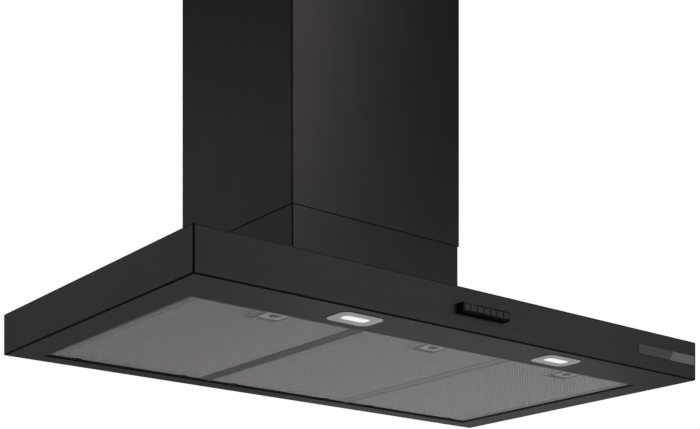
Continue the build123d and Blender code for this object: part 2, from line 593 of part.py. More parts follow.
# The wall plate behind the air box takes the hood's weight on four wall screws.
with BuildPart() as wall_plate:
    with Locations((0, -PLATE_T / 2, PLATE_Z)):
        Box(PLATE_W, PLATE_T, PLATE_H)
    with Locations((0, BOX_BACK + SLIP, PLATE_Z + PLATE_H / 2 - PLATE_T)):
        Box(PLATE_W, -BOX_BACK - SLIP, PLATE_T, align=(Align.CENTER, Align.MIN, Align.MIN))
    with Locations((0, 0, PLATE_Z)):
        with Locations(*[(x * PLATE_HOLE_X / 2, 0, z * PLATE_HOLE_Z / 2)
                         for x in (-1, 1) for z in (-1, 1)]):
            Cylinder(PLATE_HOLE_R, 4 * PLATE_T, rotation=(90, 0, 0), mode=Mode.SUBTRACT)
save(wall_plate, "wall_plate")

# ================================================================ air box
# Galvanised box round the fan, open to the canopy below, with the duct hole on top.
with BuildPart() as air_box:
    with Locations((0, BOX_Y, Z_TOP)):
        Box(BOX_W, BOX_D, BOX_H, align=MIN_BOTTOM)
        Box(BOX_W + 2 * BOX_FOOT, BOX_D + 2 * BOX_FOOT, BOX_T, align=MIN_BOTTOM)
    with Locations((0, BOX_Y, Z_TOP - BOX_T)):
        Box(BOX_W - 2 * BOX_T, BOX_D - 2 * BOX_T, BOX_H, align=MIN_BOTTOM, mode=Mode.SUBTRACT)
    with Locations((0, COLLAR_Y, Z_BOX)):
        Cylinder(COLLAR_R - COLLAR_WALL, 6 * BOX_T, mode=Mode.SUBTRACT)
    with Locations(*[(x, y, Z_TOP) for x, y in BOX_SCREWS]):
        Cylinder(SCREW_HOLE_R, 4 * BOX_T, mode=Mode.SUBTRACT)
    with Locations(*[(x, y, Z_BOX) for x, y in COLLAR_SCREWS]):
        Cylinder(SCREW_HOLE_R, 4 * BOX_T, mode=Mode.SUBTRACT)
save(air_box, "air_box")


# ================================================================ fan
def polar(centre, radius, degrees):
    """A point at a radius and angle from a centre, in the Y-Z plane."""
    a = math.radians(degrees)
    return (centre[0] + radius * math.cos(a), centre[1] + radius * math.sin(a))


def scroll_outline(inset):
    """Outline of the scroll: three growing quarter arcs, a tongue and a straight outlet."""
    c1 = (FAN_Y, FAN_Z)
    c2 = (FAN_Y + SCROLL_STEP, FAN_Z)
    c3 = (FAN_Y + SCROLL_STEP, FAN_Z + SCROLL_STEP)
    r1 = SCROLL_R - inset
    r2 = r1 + SCROLL_STEP
    r3 = r2 + SCROLL_STEP
    tip = polar(c1, r1, TONGUE_ANGLE)
    wall_y = FAN_Y + OUTLET_IN + inset
    top = Z_BOX - BOX_T - 0.3
    ThreePointArc(tip, polar(c1, r1, (TONGUE_ANGLE + 180.0) / 2), polar(c1, r1, 180.0))
    ThreePointArc(polar(c1, r1, 180.0), polar(c2, r2, 225.0), polar(c2, r2, 270.0))
    ThreePointArc(polar(c2, r2, 270.0), polar(c3, r3, 315.0), polar(c3, r3, 360.0))
    end = polar(c3, r3, 360.0)
    high = top + inset
    Polyline(end, (end[0], high), (wall_y, high), (wall_y, tip[1]), tip)


with BuildPart() as fan_scroll:
    with BuildSketch(Plane.YZ.offset(-SCROLL_HALF)):
        with BuildLine():
            scroll_outline(0.0)
        make_face()
    extrude(amount=2 * SCROLL_HALF)
    with BuildSketch(Plane.YZ.offset(-SCROLL_HALF + SCROLL_T)):
        with BuildLine():
            scroll_outline(SCROLL_T)
        make_face()
    extrude(amount=2 * (SCROLL_HALF - SCROLL_T), mode=Mode.SUBTRACT)
    with Locations((0, FAN_Y, FAN_Z)):
        Cylinder(INLET_R + 3.0, 3 * SCROLL_HALF, rotation=(0, 90, 0), mode=Mode.SUBTRACT)
save(fan_scroll, "fan_scroll")

# Two rounded inlet rings sit on the outside of the scroll's end plates.
for side, label in ((-1, "inlet_ring_left"), (1, "inlet_ring_right")):
    with BuildPart() as ring:
        with Locations((side * (SCROLL_HALF + 1.6), FAN_Y, FAN_Z)):
            Cylinder(INLET_R + 9.0, 3.0, rotation=(0, 90, 0))
            Cylinder(INLET_R, 12.0, rotation=(0, 90, 0), mode=Mode.SUBTRACT)
        inner = ring.edges().filter_by(GeomType.CIRCLE).group_by(SortBy.RADIUS)[0]
        fillet(inner, 1.3)
    save(ring, label)

# Squirrel-cage wheel: centre disc, hub, blades and two end rings.
with BuildPart() as impeller:
    with Locations((HUB_X, FAN_Y, FAN_Z)):
        Cylinder(WHEEL_R - 1.0, HUB_T, rotation=(0, 90, 0))
        Cylinder(HUB_R, 16.0, rotation=(0, 90, 0))
    with BuildSketch(Plane.YZ.offset(-WHEEL_W / 2)):
        with Locations((FAN_Y, FAN_Z)):
            with PolarLocations((WHEEL_R + BLADE_IN_R) / 2, BLADE_COUNT):
                with Locations(Rotation(0, 0, BLADE_LEAN)):
                    Rectangle(WHEEL_R - BLADE_IN_R, BLADE_T)
    extrude(amount=WHEEL_W)
    for x in (-WHEEL_W / 2, WHEEL_W / 2 - 3.0):
        with BuildSketch(Plane.YZ.offset(x)):
            with Locations((FAN_Y, FAN_Z)):
                Circle(WHEEL_R)
                Circle(BLADE_IN_R + 1.5, mode=Mode.SUBTRACT)
        extrude(amount=3.0)
    with Locations((HUB_X, FAN_Y, FAN_Z)):
        Cylinder(SHAFT_R, 30.0, rotation=(0, 90, 0), mode=Mode.SUBTRACT)
save(impeller, "impeller")

with BuildPart() as motor_shaft:
    with Locations(((MOTOR_X0 + 4.0 + HUB_X + 12.0) / 2, FAN_Y, FAN_Z)):
        Cylinder(SHAFT_R, HUB_X + 12.0 - MOTOR_X0 - 4.0, rotation=(0, 90, 0))
    chamfer(motor_shaft.edges().filter_by(GeomType.CIRCLE), 0.5)
save(motor_shaft, "motor_shaft")

# Motor can with a bearing bore, half inside the wheel.
with BuildPart() as motor:
    with Locations(((MOTOR_X0 + MOTOR_X1) / 2, FAN_Y, FAN_Z)):
        Cylinder(MOTOR_R, MOTOR_X1 - MOTOR_X0 - 8.0, rotation=(0, 90, 0))
        Cylinder(MOTOR_R - 14.0, MOTOR_X1 - MOTOR_X0, rotation=(0, 90, 0))
        Cylinder(SHAFT_R + PIN_FIT, 2 * (MOTOR_X1 - MOTOR_X0), rotation=(0, 90, 0),
                 mode=Mode.SUBTRACT)
save(motor, "motor")

# Three-armed bracket from the motor to the scroll's left end plate.
SPIDER_X = -SCROLL_HALF - 3.6
with BuildPart() as motor_bracket:
    with BuildSketch(Plane.YZ.offset(SPIDER_X)):
        with Locations((FAN_Y, FAN_Z)):
            Circle(MOTOR_R + 7.0)
            with PolarLocations(MOTOR_R + 22.0, 3, start_angle=90):
                Rectangle(46.0, 14.0)
            Circle(MOTOR_R + SLIP, mode=Mode.SUBTRACT)
    extrude(amount=-3.0)
save(motor_bracket, "motor_bracket")

with BuildPart() as capacitor:
    with Locations((-BOX_W / 2 + BOX_T + CAPACITOR_R + SLIP, BOX_BACK - 44.0, Z_TOP + 63.0)):
        Cylinder(CAPACITOR_R, CAPACITOR_H)
    fillet(capacitor.edges().filter_by(GeomType.CIRCLE), 2.0)
save(capacitor, "capacitor")

# ================================================================ duct collar and flaps
# Plate on the air box, under the collar.
with BuildPart() as collar_plate:
    with Locations((0, COLLAR_Y, Z_BOX)):
        Box(COLLAR_PLATE, COLLAR_PLATE - 4.0, PLATE_THICK, align=MIN_BOTTOM)
        Cylinder(COLLAR_R - COLLAR_WALL, 4 * PLATE_THICK, mode=Mode.SUBTRACT)
    with Locations(*[(x, y, Z_BOX) for x, y in COLLAR_SCREWS]):
        Cylinder(SCREW_HOLE_R, 6 * PLATE_THICK, mode=Mode.SUBTRACT)
save(collar_plate, "collar_plate")

# Ring on the plate, with a ledge for the closed flaps and two holes for their rod.
LEDGE_T = 1.2
LEDGE_IN = 3.5
with BuildPart() as duct_collar:
    with Locations((0, COLLAR_Y, Z_BOX + PLATE_THICK + SEAT)):
        Cylinder(COLLAR_R, COLLAR_H - PLATE_THICK - SEAT, align=MIN_BOTTOM)
    with Locations((0, COLLAR_Y, Z_BOX)):
        Cylinder(COLLAR_R - COLLAR_WALL, 3 * COLLAR_H, mode=Mode.SUBTRACT)
    with Locations((0, COLLAR_Y, FLAP_Z - FLAP_T / 2 - 2 * SLIP)):
        Cylinder(COLLAR_R - COLLAR_WALL / 2, LEDGE_T, align=(Align.CENTER, Align.CENTER, Align.MAX))
        Cylinder(COLLAR_R - COLLAR_WALL - LEDGE_IN, 8 * LEDGE_T, mode=Mode.SUBTRACT)
    with Locations((0, COLLAR_Y, FLAP_Z)):
        Cylinder(ROD_R + PIN_FIT, 3 * COLLAR_R, rotation=(0, 90, 0), mode=Mode.SUBTRACT)
save(duct_collar, "duct_collar")

with BuildPart() as flap_rod:
    with Locations((0, COLLAR_Y, FLAP_Z)):
        Cylinder(ROD_R, 2 * COLLAR_R - COLLAR_WALL / 2, rotation=(0, 90, 0))
save(flap_rod, "flap_rod")

# Two half-round flaps share the rod; their knuckles take turns along it.
KNUCKLES = {"flap_front": (-3.5, -1.5, 0.5, 2.5), "flap_rear": (-2.5, -0.5, 1.5, 3.5)}
for label, side in (("flap_front", -1), ("flap_rear", 1)):
    with BuildPart() as flap:
        with BuildSketch(Plane.XY.offset(FLAP_Z - FLAP_T / 2)):
            with Locations((0, COLLAR_Y)):
                Circle(FLAP_R)
            with Locations((0, COLLAR_Y - side * (FLAP_R - FLAP_START))):
                Rectangle(3 * FLAP_R, 2 * FLAP_R, mode=Mode.SUBTRACT)
            for step in KNUCKLES[label]:
                with Locations((step * KNUCKLE_PITCH, COLLAR_Y + side * FLAP_START)):
                    Rectangle(KNUCKLE_L, 2 * FLAP_START - 0.6)
        extrude(amount=FLAP_T)
        for step in KNUCKLES[label]:
            with Locations((step * KNUCKLE_PITCH, COLLAR_Y, FLAP_Z)):
                Cylinder(KNUCKLE_R, KNUCKLE_L, rotation=(0, 90, 0))
        with Locations((0, COLLAR_Y, FLAP_Z)):
            Cylinder(ROD_R + PIN_FIT, 3 * FLAP_R, rotation=(0, 90, 0), mode=Mode.SUBTRACT)
    save(flap, label)

# ================================================================ electronics
# A moulded case on top of the air box, in front of the duct collar.
CASE_Z = Z_BOX + 0.1
LID_Z = CASE_Z + CASE_H + SLIP
with BuildPart() as electronics_case:
    with Locations((0, CASE_Y, CASE_Z)):
        Box(CASE_W, CASE_D, CASE_H, align=MIN_BOTTOM)
    fillet(electronics_case.edges().filter_by(Axis.Z), 4.0)
    with Locations((0, CASE_Y, CASE_Z + CASE_WALL)):
        Box(CASE_W - 2 * CASE_WALL, CASE_D - 2 * CASE_WALL, CASE_H, align=MIN_BOTTOM,
            mode=Mode.SUBTRACT)
save(electronics_case, "electronics_case")

with BuildPart() as electronics_lid:
    with Locations((0, CASE_Y, LID_Z)):
        Box(CASE_W, CASE_D, LID_T, align=MIN_BOTTOM)
    fillet(electronics_lid.edges().filter_by(Axis.Z), 4.0)
    fillet(electronics_lid.faces().sort_by(Axis.Z)[-1].edges(), 0.8)
    with Locations((GLAND_X, CASE_Y, LID_Z)):
        Cylinder(GLAND_THREAD_R + SLIP, 4 * LID_T, mode=Mode.SUBTRACT)
save(electronics_lid, "electronics_lid")

# Power board with a transformer, a relay and a terminal strip, clear of the gland.
BOARD_X = -10.0
BOARD_L = 90.0
BOARD_Z = CASE_Z + CASE_WALL + 4.0
with BuildPart() as power_board:
    with Locations((BOARD_X, CASE_Y, BOARD_Z)):
        Box(BOARD_L, CASE_D - 12.0, BOARD_T, align=MIN_BOTTOM)
    with Locations((BOARD_X, CASE_Y, BOARD_Z + BOARD_T)):
        with Locations((-25.0, 8.0, 0)):
            Box(30.0, 34.0, 20.0, align=MIN_BOTTOM)
        with Locations((9.0, 14.0, 0)):
            Box(14.0, 20.0, 15.0, align=MIN_BOTTOM)
        with Locations((0.0, -24.0, 0)):
            Box(60.0, 12.0, 14.0, align=MIN_BOTTOM)
    with Locations((BOARD_X, CASE_Y, CASE_Z + CASE_WALL)):
        with GridLocations(BOARD_L - 12.0, CASE_D - 20.0, 2, 2):
            Cylinder(3.0, 4.0, align=MIN_BOTTOM)
save(power_board, "power_board")

# Cable gland in the lid: the mains cable's way in, left empty for the installer.
with BuildPart() as cable_gland:
    with Locations((GLAND_X, CASE_Y, LID_Z - 5.0)):
        Cylinder(GLAND_THREAD_R, LID_T + 6.0, align=MIN_BOTTOM)
    with BuildSketch(Plane.XY.offset(LID_Z + LID_T + SEAT)):
        with Locations((GLAND_X, CASE_Y)):
            RegularPolygon(GLAND_HEX_R, 6)
    extrude(amount=GLAND_NUT_H)
    with BuildSketch(Plane.XY.offset(LID_Z + LID_T + SEAT + GLAND_NUT_H)):
        with Locations((GLAND_X, CASE_Y)):
            Circle(GLAND_HEX_R - 2.0)
    extrude(amount=GLAND_DOME_H, taper=6)
    with Locations((GLAND_X, CASE_Y, LID_Z)):
        Cylinder(GLAND_BORE_R, 8 * GLAND_DOME_H, mode=Mode.SUBTRACT)
save(cable_gland, "cable_gland")


# ================================================================ screws
def pan_screw(x, y, z, length):
    """One upright pan-head screw whose head stands on the height z."""
    with Locations((x, y, z)):
        Cylinder(HEAD_R, HEAD_H, align=MIN_BOTTOM)
        Cylinder(SCREW_R, length, align=(Align.CENTER, Align.CENTER, Align.MAX))


with BuildPart() as box_screws:
    for x, y in BOX_SCREWS:
        pan_screw(x, y, Z_TOP + BOX_T + SEAT, 6.0)
save(box_screws, "box_screws")

with BuildPart() as sleeve_screws:
    for x, y in SLEEVE_SCREWS:
        pan_screw(x, y, Z_TOP + SLEEVE_T + SEAT, 6.0)
save(sleeve_screws, "sleeve_screws")

with BuildPart() as collar_screws:
    for x, y in COLLAR_SCREWS:
        pan_screw(x, y, Z_BOX + PLATE_THICK + SEAT, 7.0)
save(collar_screws, "collar_screws")

# These four hold the hinge rail down; their heads are inside the canopy.
with BuildPart() as rail_screws:
    for x, y in RAIL_SCREWS:
        pan_screw(x, y, Z_LOW + SHEET + RAIL_T + SEAT, SHEET + RAIL_T)
save(rail_screws, "rail_screws")

# One screw in each side of the upper sleeve, into the ceiling bracket's arms.
with BuildPart() as bracket_screws:
    for side in (-1, 1):
        with Locations((side * (UPPER_W / 2 + SEAT + HEAD_H / 2), BRACKET_SCREW_Y,
                        BRACKET_Z + BRACKET_H / 2)):
            Cylinder(HEAD_R, HEAD_H, rotation=(0, 90, 0))
        with Locations((side * (UPPER_W / 2 - 4.0), BRACKET_SCREW_Y, BRACKET_Z + BRACKET_H / 2)):
            Cylinder(SCREW_R, 8.1, rotation=(0, 90, 0))
save(bracket_screws, "bracket_screws")
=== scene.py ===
# %% [markdown]
# # A wall hood in Blender, piece by piece
# A wall-mounted chimney hood is mostly folded sheet metal: a flat canopy box, two telescoping chimney
# sleeves, three drop-down grease filters, two lamps and a row of push buttons. The engineering model
# arrives as a fixed frame with every size settled. This lesson builds the visible skins over it, with
# rounded folds, real mesh and finished surfaces, and never moves anything.

# %% Load the frame
import math
import bmesh
import bpy
from mathutils import Matrix, Vector


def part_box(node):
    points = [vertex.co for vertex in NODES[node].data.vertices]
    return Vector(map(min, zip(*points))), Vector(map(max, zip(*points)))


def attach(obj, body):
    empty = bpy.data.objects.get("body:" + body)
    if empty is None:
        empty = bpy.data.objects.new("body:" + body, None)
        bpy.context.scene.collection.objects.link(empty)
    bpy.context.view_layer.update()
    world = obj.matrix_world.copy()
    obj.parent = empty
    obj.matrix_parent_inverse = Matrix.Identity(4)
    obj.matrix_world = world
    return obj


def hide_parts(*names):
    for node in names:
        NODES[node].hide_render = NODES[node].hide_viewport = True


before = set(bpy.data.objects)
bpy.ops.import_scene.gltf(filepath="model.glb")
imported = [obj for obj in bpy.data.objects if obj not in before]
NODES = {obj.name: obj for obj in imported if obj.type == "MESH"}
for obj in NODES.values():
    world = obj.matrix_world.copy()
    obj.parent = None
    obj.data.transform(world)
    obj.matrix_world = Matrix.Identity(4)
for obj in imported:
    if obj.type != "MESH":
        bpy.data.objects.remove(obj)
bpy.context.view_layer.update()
MM = 0.001

# %% [markdown]
# ## The camera
# A level camera keeps upright edges parallel, but then a hood seen from below sits high above the
# picture's middle, as with an architect's rising lens. A large lens shift would throw the hood out of
# the frame in every other view, so the rise is made by the stand instead: the camera rides on a rig whose
# matrix leans its axis upwards while its picture plane stays upright. The rig only holds this one view.

# %% Camera on a leaning rig
VIEW_YAW = math.radians(-38.21)
EYE = Vector((-1.2973, -1.8563, -0.4975))
# Focal length, rise and side shift share one unit, of which the picture is IMAGE_WIDTH across.
FOCAL = 1408.1
RISE = 473.54
SIDE_SHIFT = 4.0
IMAGE_WIDTH = 700
SENSOR = 36.0
CLIP_NEAR = 0.05
CLIP_FAR = 60.0


def leaning_camera():
    """A camera whose axis rises while verticals stay upright."""
    right = Vector((math.cos(VIEW_YAW), math.sin(VIEW_YAW), 0.0))
    ahead = Vector((-math.sin(VIEW_YAW), math.cos(VIEW_YAW), 0.0))
    up = Vector((0.0, 0.0, 1.0))
    axis = ahead + up * (RISE / FOCAL) + right * (SIDE_SHIFT / FOCAL)
    back = -axis.normalized()
    lean = Matrix((right, up, back)).transposed().to_4x4()
    lean.translation = EYE
    lens = bpy.data.cameras.new("hood_camera")
    lens.sensor_width = SENSOR
    lens.lens = FOCAL * axis.length * SENSOR / IMAGE_WIDTH
    lens.clip_start = CLIP_NEAR
    lens.clip_end = CLIP_FAR
    camera = bpy.data.objects.new("hood_camera", lens)
    rig = bpy.data.objects.new("hood_camera_rig", None)
    for each in (camera, rig):
        bpy.context.scene.collection.objects.link(each)
    camera.parent = rig
    camera.matrix_parent_inverse = lean
    bpy.context.scene.camera = camera
    print("lens", round(lens.lens, 1), "mm")


leaning_camera()

# %% [markdown]
# ## Light
# The hood hangs in a white studio. The camera sees a plain white backdrop, while the metal sees a dim,
# grey room. Area lights stand in front, below, behind, at both sides and overhead. A satin dark finish
# shows them as slow gradients, and a light that stands near makes one end of a panel lighter than the other.

# %% World, floor and studio lights
FLOOR_Z = -1.60
FLOOR_REACH = 30.0
BACKDROP = 1.0
ROOM_LIGHT = 0.07


def studio_world():
    """White to the camera, a dim grey room to everything else."""
    world = bpy.data.worlds.new("studio")
    world.use_nodes = True
    bpy.context.scene.world = world
    tree = world.node_tree
    tree.nodes.clear()
    seen = tree.nodes.new("ShaderNodeBackground")
    seen.inputs["Strength"].default_value = BACKDROP
    seen.inputs["Color"].default_value = (1.0, 1.0, 1.0, 1.0)
    lit = tree.nodes.new("ShaderNodeBackground")
    lit.inputs["Strength"].default_value = ROOM_LIGHT
    lit.inputs["Color"].default_value = (0.93, 0.95, 1.0, 1.0)
    path = tree.nodes.new("ShaderNodeLightPath")
    mix = tree.nodes.new("ShaderNodeMixShader")
    out = tree.nodes.new("ShaderNodeOutputWorld")
    tree.links.new(path.outputs["Is Camera Ray"], mix.inputs[0])
    tree.links.new(lit.outputs[0], mix.inputs[1])
    tree.links.new(seen.outputs[0], mix.inputs[2])
    tree.links.new(mix.outputs[0], out.inputs["Surface"])


def area_light(name, place, target, size, power, colour=(1.0, 1.0, 1.0)):
    """One soft panel light, aimed at a point and hidden from the camera itself."""
    data = bpy.data.lights.new(name, "AREA")
    data.shape = "RECTANGLE"
    data.size = size[0]
    data.size_y = size[1]
    data.energy = power
    data.color = colour
    lamp = bpy.data.objects.new(name, data)
    bpy.context.scene.collection.objects.link(lamp)
    lamp.location = place
    aim = Vector(target) - Vector(place)
    lamp.rotation_euler = aim.to_track_quat("-Z", "Y").to_euler()
    lamp.visible_camera = False


def studio_floor():
    """A plain pale floor well below the hood."""
    data = bpy.data.meshes.new("floor")
    corners = [(x * FLOOR_REACH, y * FLOOR_REACH, FLOOR_Z) for x, y in ((-1, -1), (1, -1), (1, 1), (-1, 1))]
    data.from_pydata(corners, [], [(0, 1, 2, 3)])
    floor = bpy.data.objects.new("floor", data)
    bpy.context.scene.collection.objects.link(floor)
    return floor


studio_world()
FLOOR = studio_floor()
area_light("chimney_key", (0.17, -0.88, 0.80), (-0.13, -0.287, 0.42), (0.26, 0.9), 1.65)
area_light("front_wide", (0.8, -2.35, 0.42), (-0.1, -0.5, 0.0), (2.8, 0.5), 7.0)
area_light("side_left", (-2.6, 2.2, 0.9), (0.0, -0.25, 0.1), (2.4, 2.0), 8.0)
area_light("under_fill", (-0.75, -0.95, -1.4), (0.0, -0.25, 0.0), (1.6, 1.2), 2.0)
area_light("back_low", (1.35, 1.0, -0.5), (0.0, -0.46, 0.0), (0.9, 0.5), 0.36, (0.82, 0.9, 1.0))
area_light("right_side", (2.6, 0.5, 0.7), (0.3, -0.25, 0.1), (1.4, 1.4), 24.0)
area_light("rear_fill", (1.3, 2.3, 0.9), (0.1, 0.0, 0.2), (1.6, 1.6), 22.0)
area_light("overhead", (0.6, 0.0, 3.8), (0.6, 0.0, 0.0), (3.0, 3.0), 80.0)
bpy.context.scene.view_settings.view_transform = "Standard"
bpy.context.scene.view_settings.look = "None"

# %% [markdown]
# ## Shared surface effects
# Real finishes repeat a few effects: the long scratches of brushed metal, cloudy handling marks, the
# crystals of galvanising and the fine pits of moulded plastic. Each is a shader node group with named
# inputs, so every material can use it at its own scale. The groups put out masks only; the shader that
# uses them stays in the material.

# %% Effect groups
def new_group(name, inputs, outputs):
    """An empty shader group with named sockets; returns the tree, its input and output nodes."""
    tree = bpy.data.node_groups.new(name, "ShaderNodeTree")
    for label, kind, value in inputs:
        socket = tree.interface.new_socket(name=label, in_out="INPUT", socket_type=kind)
        socket.default_value = value
    for label, kind in outputs:
        tree.interface.new_socket(name=label, in_out="OUTPUT", socket_type=kind)
    return tree, tree.nodes.new("NodeGroupInput"), tree.nodes.new("NodeGroupOutput")


def put(tree, socket, value):
    """Puts a constant on a socket, or a link into it."""
    if isinstance(value, bpy.types.NodeSocket):
        tree.links.new(value, socket)
    else:
        socket.default_value = value


def object_place(tree):
    """The point being shaded, in the object's own coordinates."""
    return tree.nodes.new("ShaderNodeTexCoord").outputs["Object"]


def noise(tree, place, scale, detail, rough):
    """The value of a noise texture at a place; its scale is a number or a socket."""
    node = tree.nodes.new("ShaderNodeTexNoise")
    for label, value in (("Vector", place), ("Scale", scale), ("Detail", detail), ("Roughness", rough)):
        put(tree, node.inputs[label], value)
    return node.outputs["Fac"]


def math_node(tree, operation, first, second):
    """A math node; each input is a number or a socket."""
    node = tree.nodes.new("ShaderNodeMath")
    node.operation = operation
    for socket, value in zip(node.inputs, (first, second)):
        put(tree, socket, value)
    return node.outputs[0]


def brushed_group():
    """Long fine scratches: noise squeezed across the brushing direction."""
    tree, given, out = new_group(
        "brushed_grain",
        [("Squeeze", "NodeSocketVector", (300.0, 300.0, 6.0))],
        [("Streaks", "NodeSocketFloat"), ("Bands", "NodeSocketFloat")],
    )
    stretch = tree.nodes.new("ShaderNodeVectorMath")
    stretch.operation = "MULTIPLY"
    tree.links.new(object_place(tree), stretch.inputs[0])
    tree.links.new(given.outputs["Squeeze"], stretch.inputs[1])
    tree.links.new(noise(tree, stretch.outputs[0], 6.0, 3.0, 0.6), out.inputs["Streaks"])
    tree.links.new(noise(tree, stretch.outputs[0], 0.35, 3.0, 0.55), out.inputs["Bands"])
    return tree


def smudge_group():
    """Cloudy marks from wiping and handling, at two sizes."""
    tree, given, out = new_group(
        "wiped_smudges",
        [("Scale", "NodeSocketFloat", 9.0)],
        [("Clouds", "NodeSocketFloat"), ("Specks", "NodeSocketFloat")],
    )
    place = object_place(tree)
    clouds = noise(tree, place, given.outputs["Scale"], 4.0, 0.6)
    speck_scale = math_node(tree, "MULTIPLY", given.outputs["Scale"], 24.0)
    ramp = tree.nodes.new("ShaderNodeValToRGB")
    ramp.color_ramp.elements[0].position = 0.66
    ramp.color_ramp.elements[1].position = 0.74
    tree.links.new(noise(tree, place, speck_scale, 2.0, 0.5), ramp.inputs[0])
    tree.links.new(clouds, out.inputs["Clouds"])
    tree.links.new(ramp.outputs[0], out.inputs["Specks"])
    return tree


def spangle_group():
    """Zinc crystals: flat cells, each with its own tone, and their thin borders."""
    tree, given, out = new_group(
        "zinc_spangle",
        [("Scale", "NodeSocketFloat", 90.0)],
        [("Tone", "NodeSocketFloat"), ("Border", "NodeSocketFloat")],
    )
    place = object_place(tree)
    cells = tree.nodes.new("ShaderNodeTexVoronoi")
    edges = tree.nodes.new("ShaderNodeTexVoronoi")
    edges.feature = "DISTANCE_TO_EDGE"
    for node in (cells, edges):
        tree.links.new(place, node.inputs["Vector"])
        tree.links.new(given.outputs["Scale"], node.inputs["Scale"])
    split = tree.nodes.new("ShaderNodeSeparateColor")
    tree.links.new(cells.outputs["Color"], split.inputs[0])
    tree.links.new(split.outputs[0], out.inputs["Tone"])
    tree.links.new(math_node(tree, "LESS_THAN", edges.outputs["Distance"], 0.05), out.inputs["Border"])
    return tree


def mould_group():
    """The fine spark-eroded grain that a mould leaves on plastic."""
    tree, given, out = new_group(
        "mould_grain",
        [("Scale", "NodeSocketFloat", 1400.0)],
        [("Grain", "NodeSocketFloat"), ("Wear", "NodeSocketFloat")],
    )
    place = object_place(tree)
    tree.links.new(noise(tree, place, given.outputs["Scale"], 2.0, 0.5), out.inputs["Grain"])
    tree.links.new(noise(tree, place, 45.0, 4.0, 0.6), out.inputs["Wear"])
    return tree


GROUPS = {g.name: g for g in (brushed_group(), smudge_group(), spangle_group(), mould_group())}
print("effect groups:", sorted(GROUPS))

# %% [markdown]
# ## Finishes
# Every material starts from one Principled shader. Small helpers add what varies: a colour that drifts
# between two tones with a mask, a roughness that follows the scratches, and a bump from the same mask,
# so the light breaks up where the surface does.

# %% Material helpers
class Finish:
    """A material under construction: one Principled shader and the links that feed it."""

    def __init__(self, name, metallic, roughness, **constants):
        self.material = bpy.data.materials.new(name)
        self.material.use_nodes = True
        self.tree = self.material.node_tree
        self.shader = self.tree.nodes["Principled BSDF"]
        self.shader.inputs["Metallic"].default_value = metallic
        self.shader.inputs["Roughness"].default_value = roughness
        for label, value in constants.items():
            self.shader.inputs[label.replace("_", " ")].default_value = value

    def effect(self, group, **values):
        """Places a shared effect group and sets its inputs."""
        node = self.tree.nodes.new("ShaderNodeGroup")
        node.node_tree = GROUPS[group]
        for label, value in values.items():
            node.inputs[label].default_value = value
        return node

    def colour(self, mask, dark, light):
        """Base colour that moves from dark to light with the mask."""
        blend = self.tree.nodes.new("ShaderNodeMix")
        blend.data_type = "RGBA"
        blend.inputs["A"].default_value = (*dark, 1.0)
        blend.inputs["B"].default_value = (*light, 1.0)
        self.tree.links.new(mask, blend.inputs["Factor"])
        self.tree.links.new(blend.outputs["Result"], self.shader.inputs["Base Color"])

    def mixed(self, first, second, share):
        """first and second masks mixed, with share of the second."""
        part = math_node(self.tree, "MULTIPLY", second, share)
        rest = math_node(self.tree, "MULTIPLY", first, 1.0 - share)
        return math_node(self.tree, "ADD", part, rest)

    def roughness(self, mask, low, high):
        """Roughness between low and high with the mask."""
        spread = math_node(self.tree, "MULTIPLY", mask, high - low)
        value = math_node(self.tree, "ADD", spread, low)
        self.tree.links.new(value, self.shader.inputs["Roughness"])

    def bump(self, mask, distance, strength=0.5):
        """Fine relief from the mask; distance in metres."""
        node = self.tree.nodes.new("ShaderNodeBump")
        node.inputs["Distance"].default_value = distance
        node.inputs["Strength"].default_value = strength
        self.tree.links.new(mask, node.inputs["Height"])
        self.tree.links.new(node.outputs["Normal"], self.shader.inputs["Normal"])


# %% [markdown]
# ### Dark coated steel
# The canopy and chimney are brushed stainless under a dark satin coat. The brushing runs up the chimney
# and along the canopy, so one recipe is used with two directions. The folds get a nearly black, matt
# version of the same finish: painted shade that draws a dark line along every edge.

# %% Metal finishes
UPRIGHT = (260.0, 260.0, 5.0)
LEVEL = (5.0, 260.0, 260.0)
COAT_DARK = (0.032, 0.0275, 0.0315)
COAT_LIGHT = (0.050, 0.043, 0.049)


def coated_steel(name, direction, dark, light, rough=(0.30, 0.46)):
    """Dark satin coat over brushed sheet."""
    finish = Finish(name, 0.85, 0.38)
    grain = finish.effect("brushed_grain", Squeeze=direction)
    marks = finish.effect("wiped_smudges", Scale=7.0)
    tone = finish.mixed(grain.outputs["Streaks"], grain.outputs["Bands"], 0.5)
    finish.colour(tone, dark, light)
    finish.roughness(finish.mixed(grain.outputs["Streaks"], marks.outputs["Clouds"], 0.4), *rough)
    finish.bump(grain.outputs["Streaks"], 0.00004, 0.25)
    return finish.material


def painted_edge_shade_coat(name):
    """Painted shade for the folds: nearly black and matt, with the grain just showing."""
    finish = Finish(name, 0.0, 0.6, Specular_IOR_Level=0.12)
    grain = finish.effect("brushed_grain", Squeeze=UPRIGHT)
    finish.colour(grain.outputs["Streaks"], (0.0015, 0.0015, 0.0015), (0.005, 0.0045, 0.005))
    finish.roughness(grain.outputs["Bands"], 0.55, 0.7)
    return finish.material


def bare_metal(name, dark, light, rough, squeeze=LEVEL, metallic=0.95, relief=0.00004):
    """Rolled or pressed metal with fine drawing lines."""
    finish = Finish(name, metallic, 0.4)
    grain = finish.effect("brushed_grain", Squeeze=squeeze)
    marks = finish.effect("wiped_smudges", Scale=14.0)
    finish.colour(finish.mixed(grain.outputs["Streaks"], marks.outputs["Clouds"], 0.5), dark, light)
    finish.roughness(marks.outputs["Clouds"], *rough)
    finish.bump(grain.outputs["Streaks"], relief, 0.4)
    return finish.material


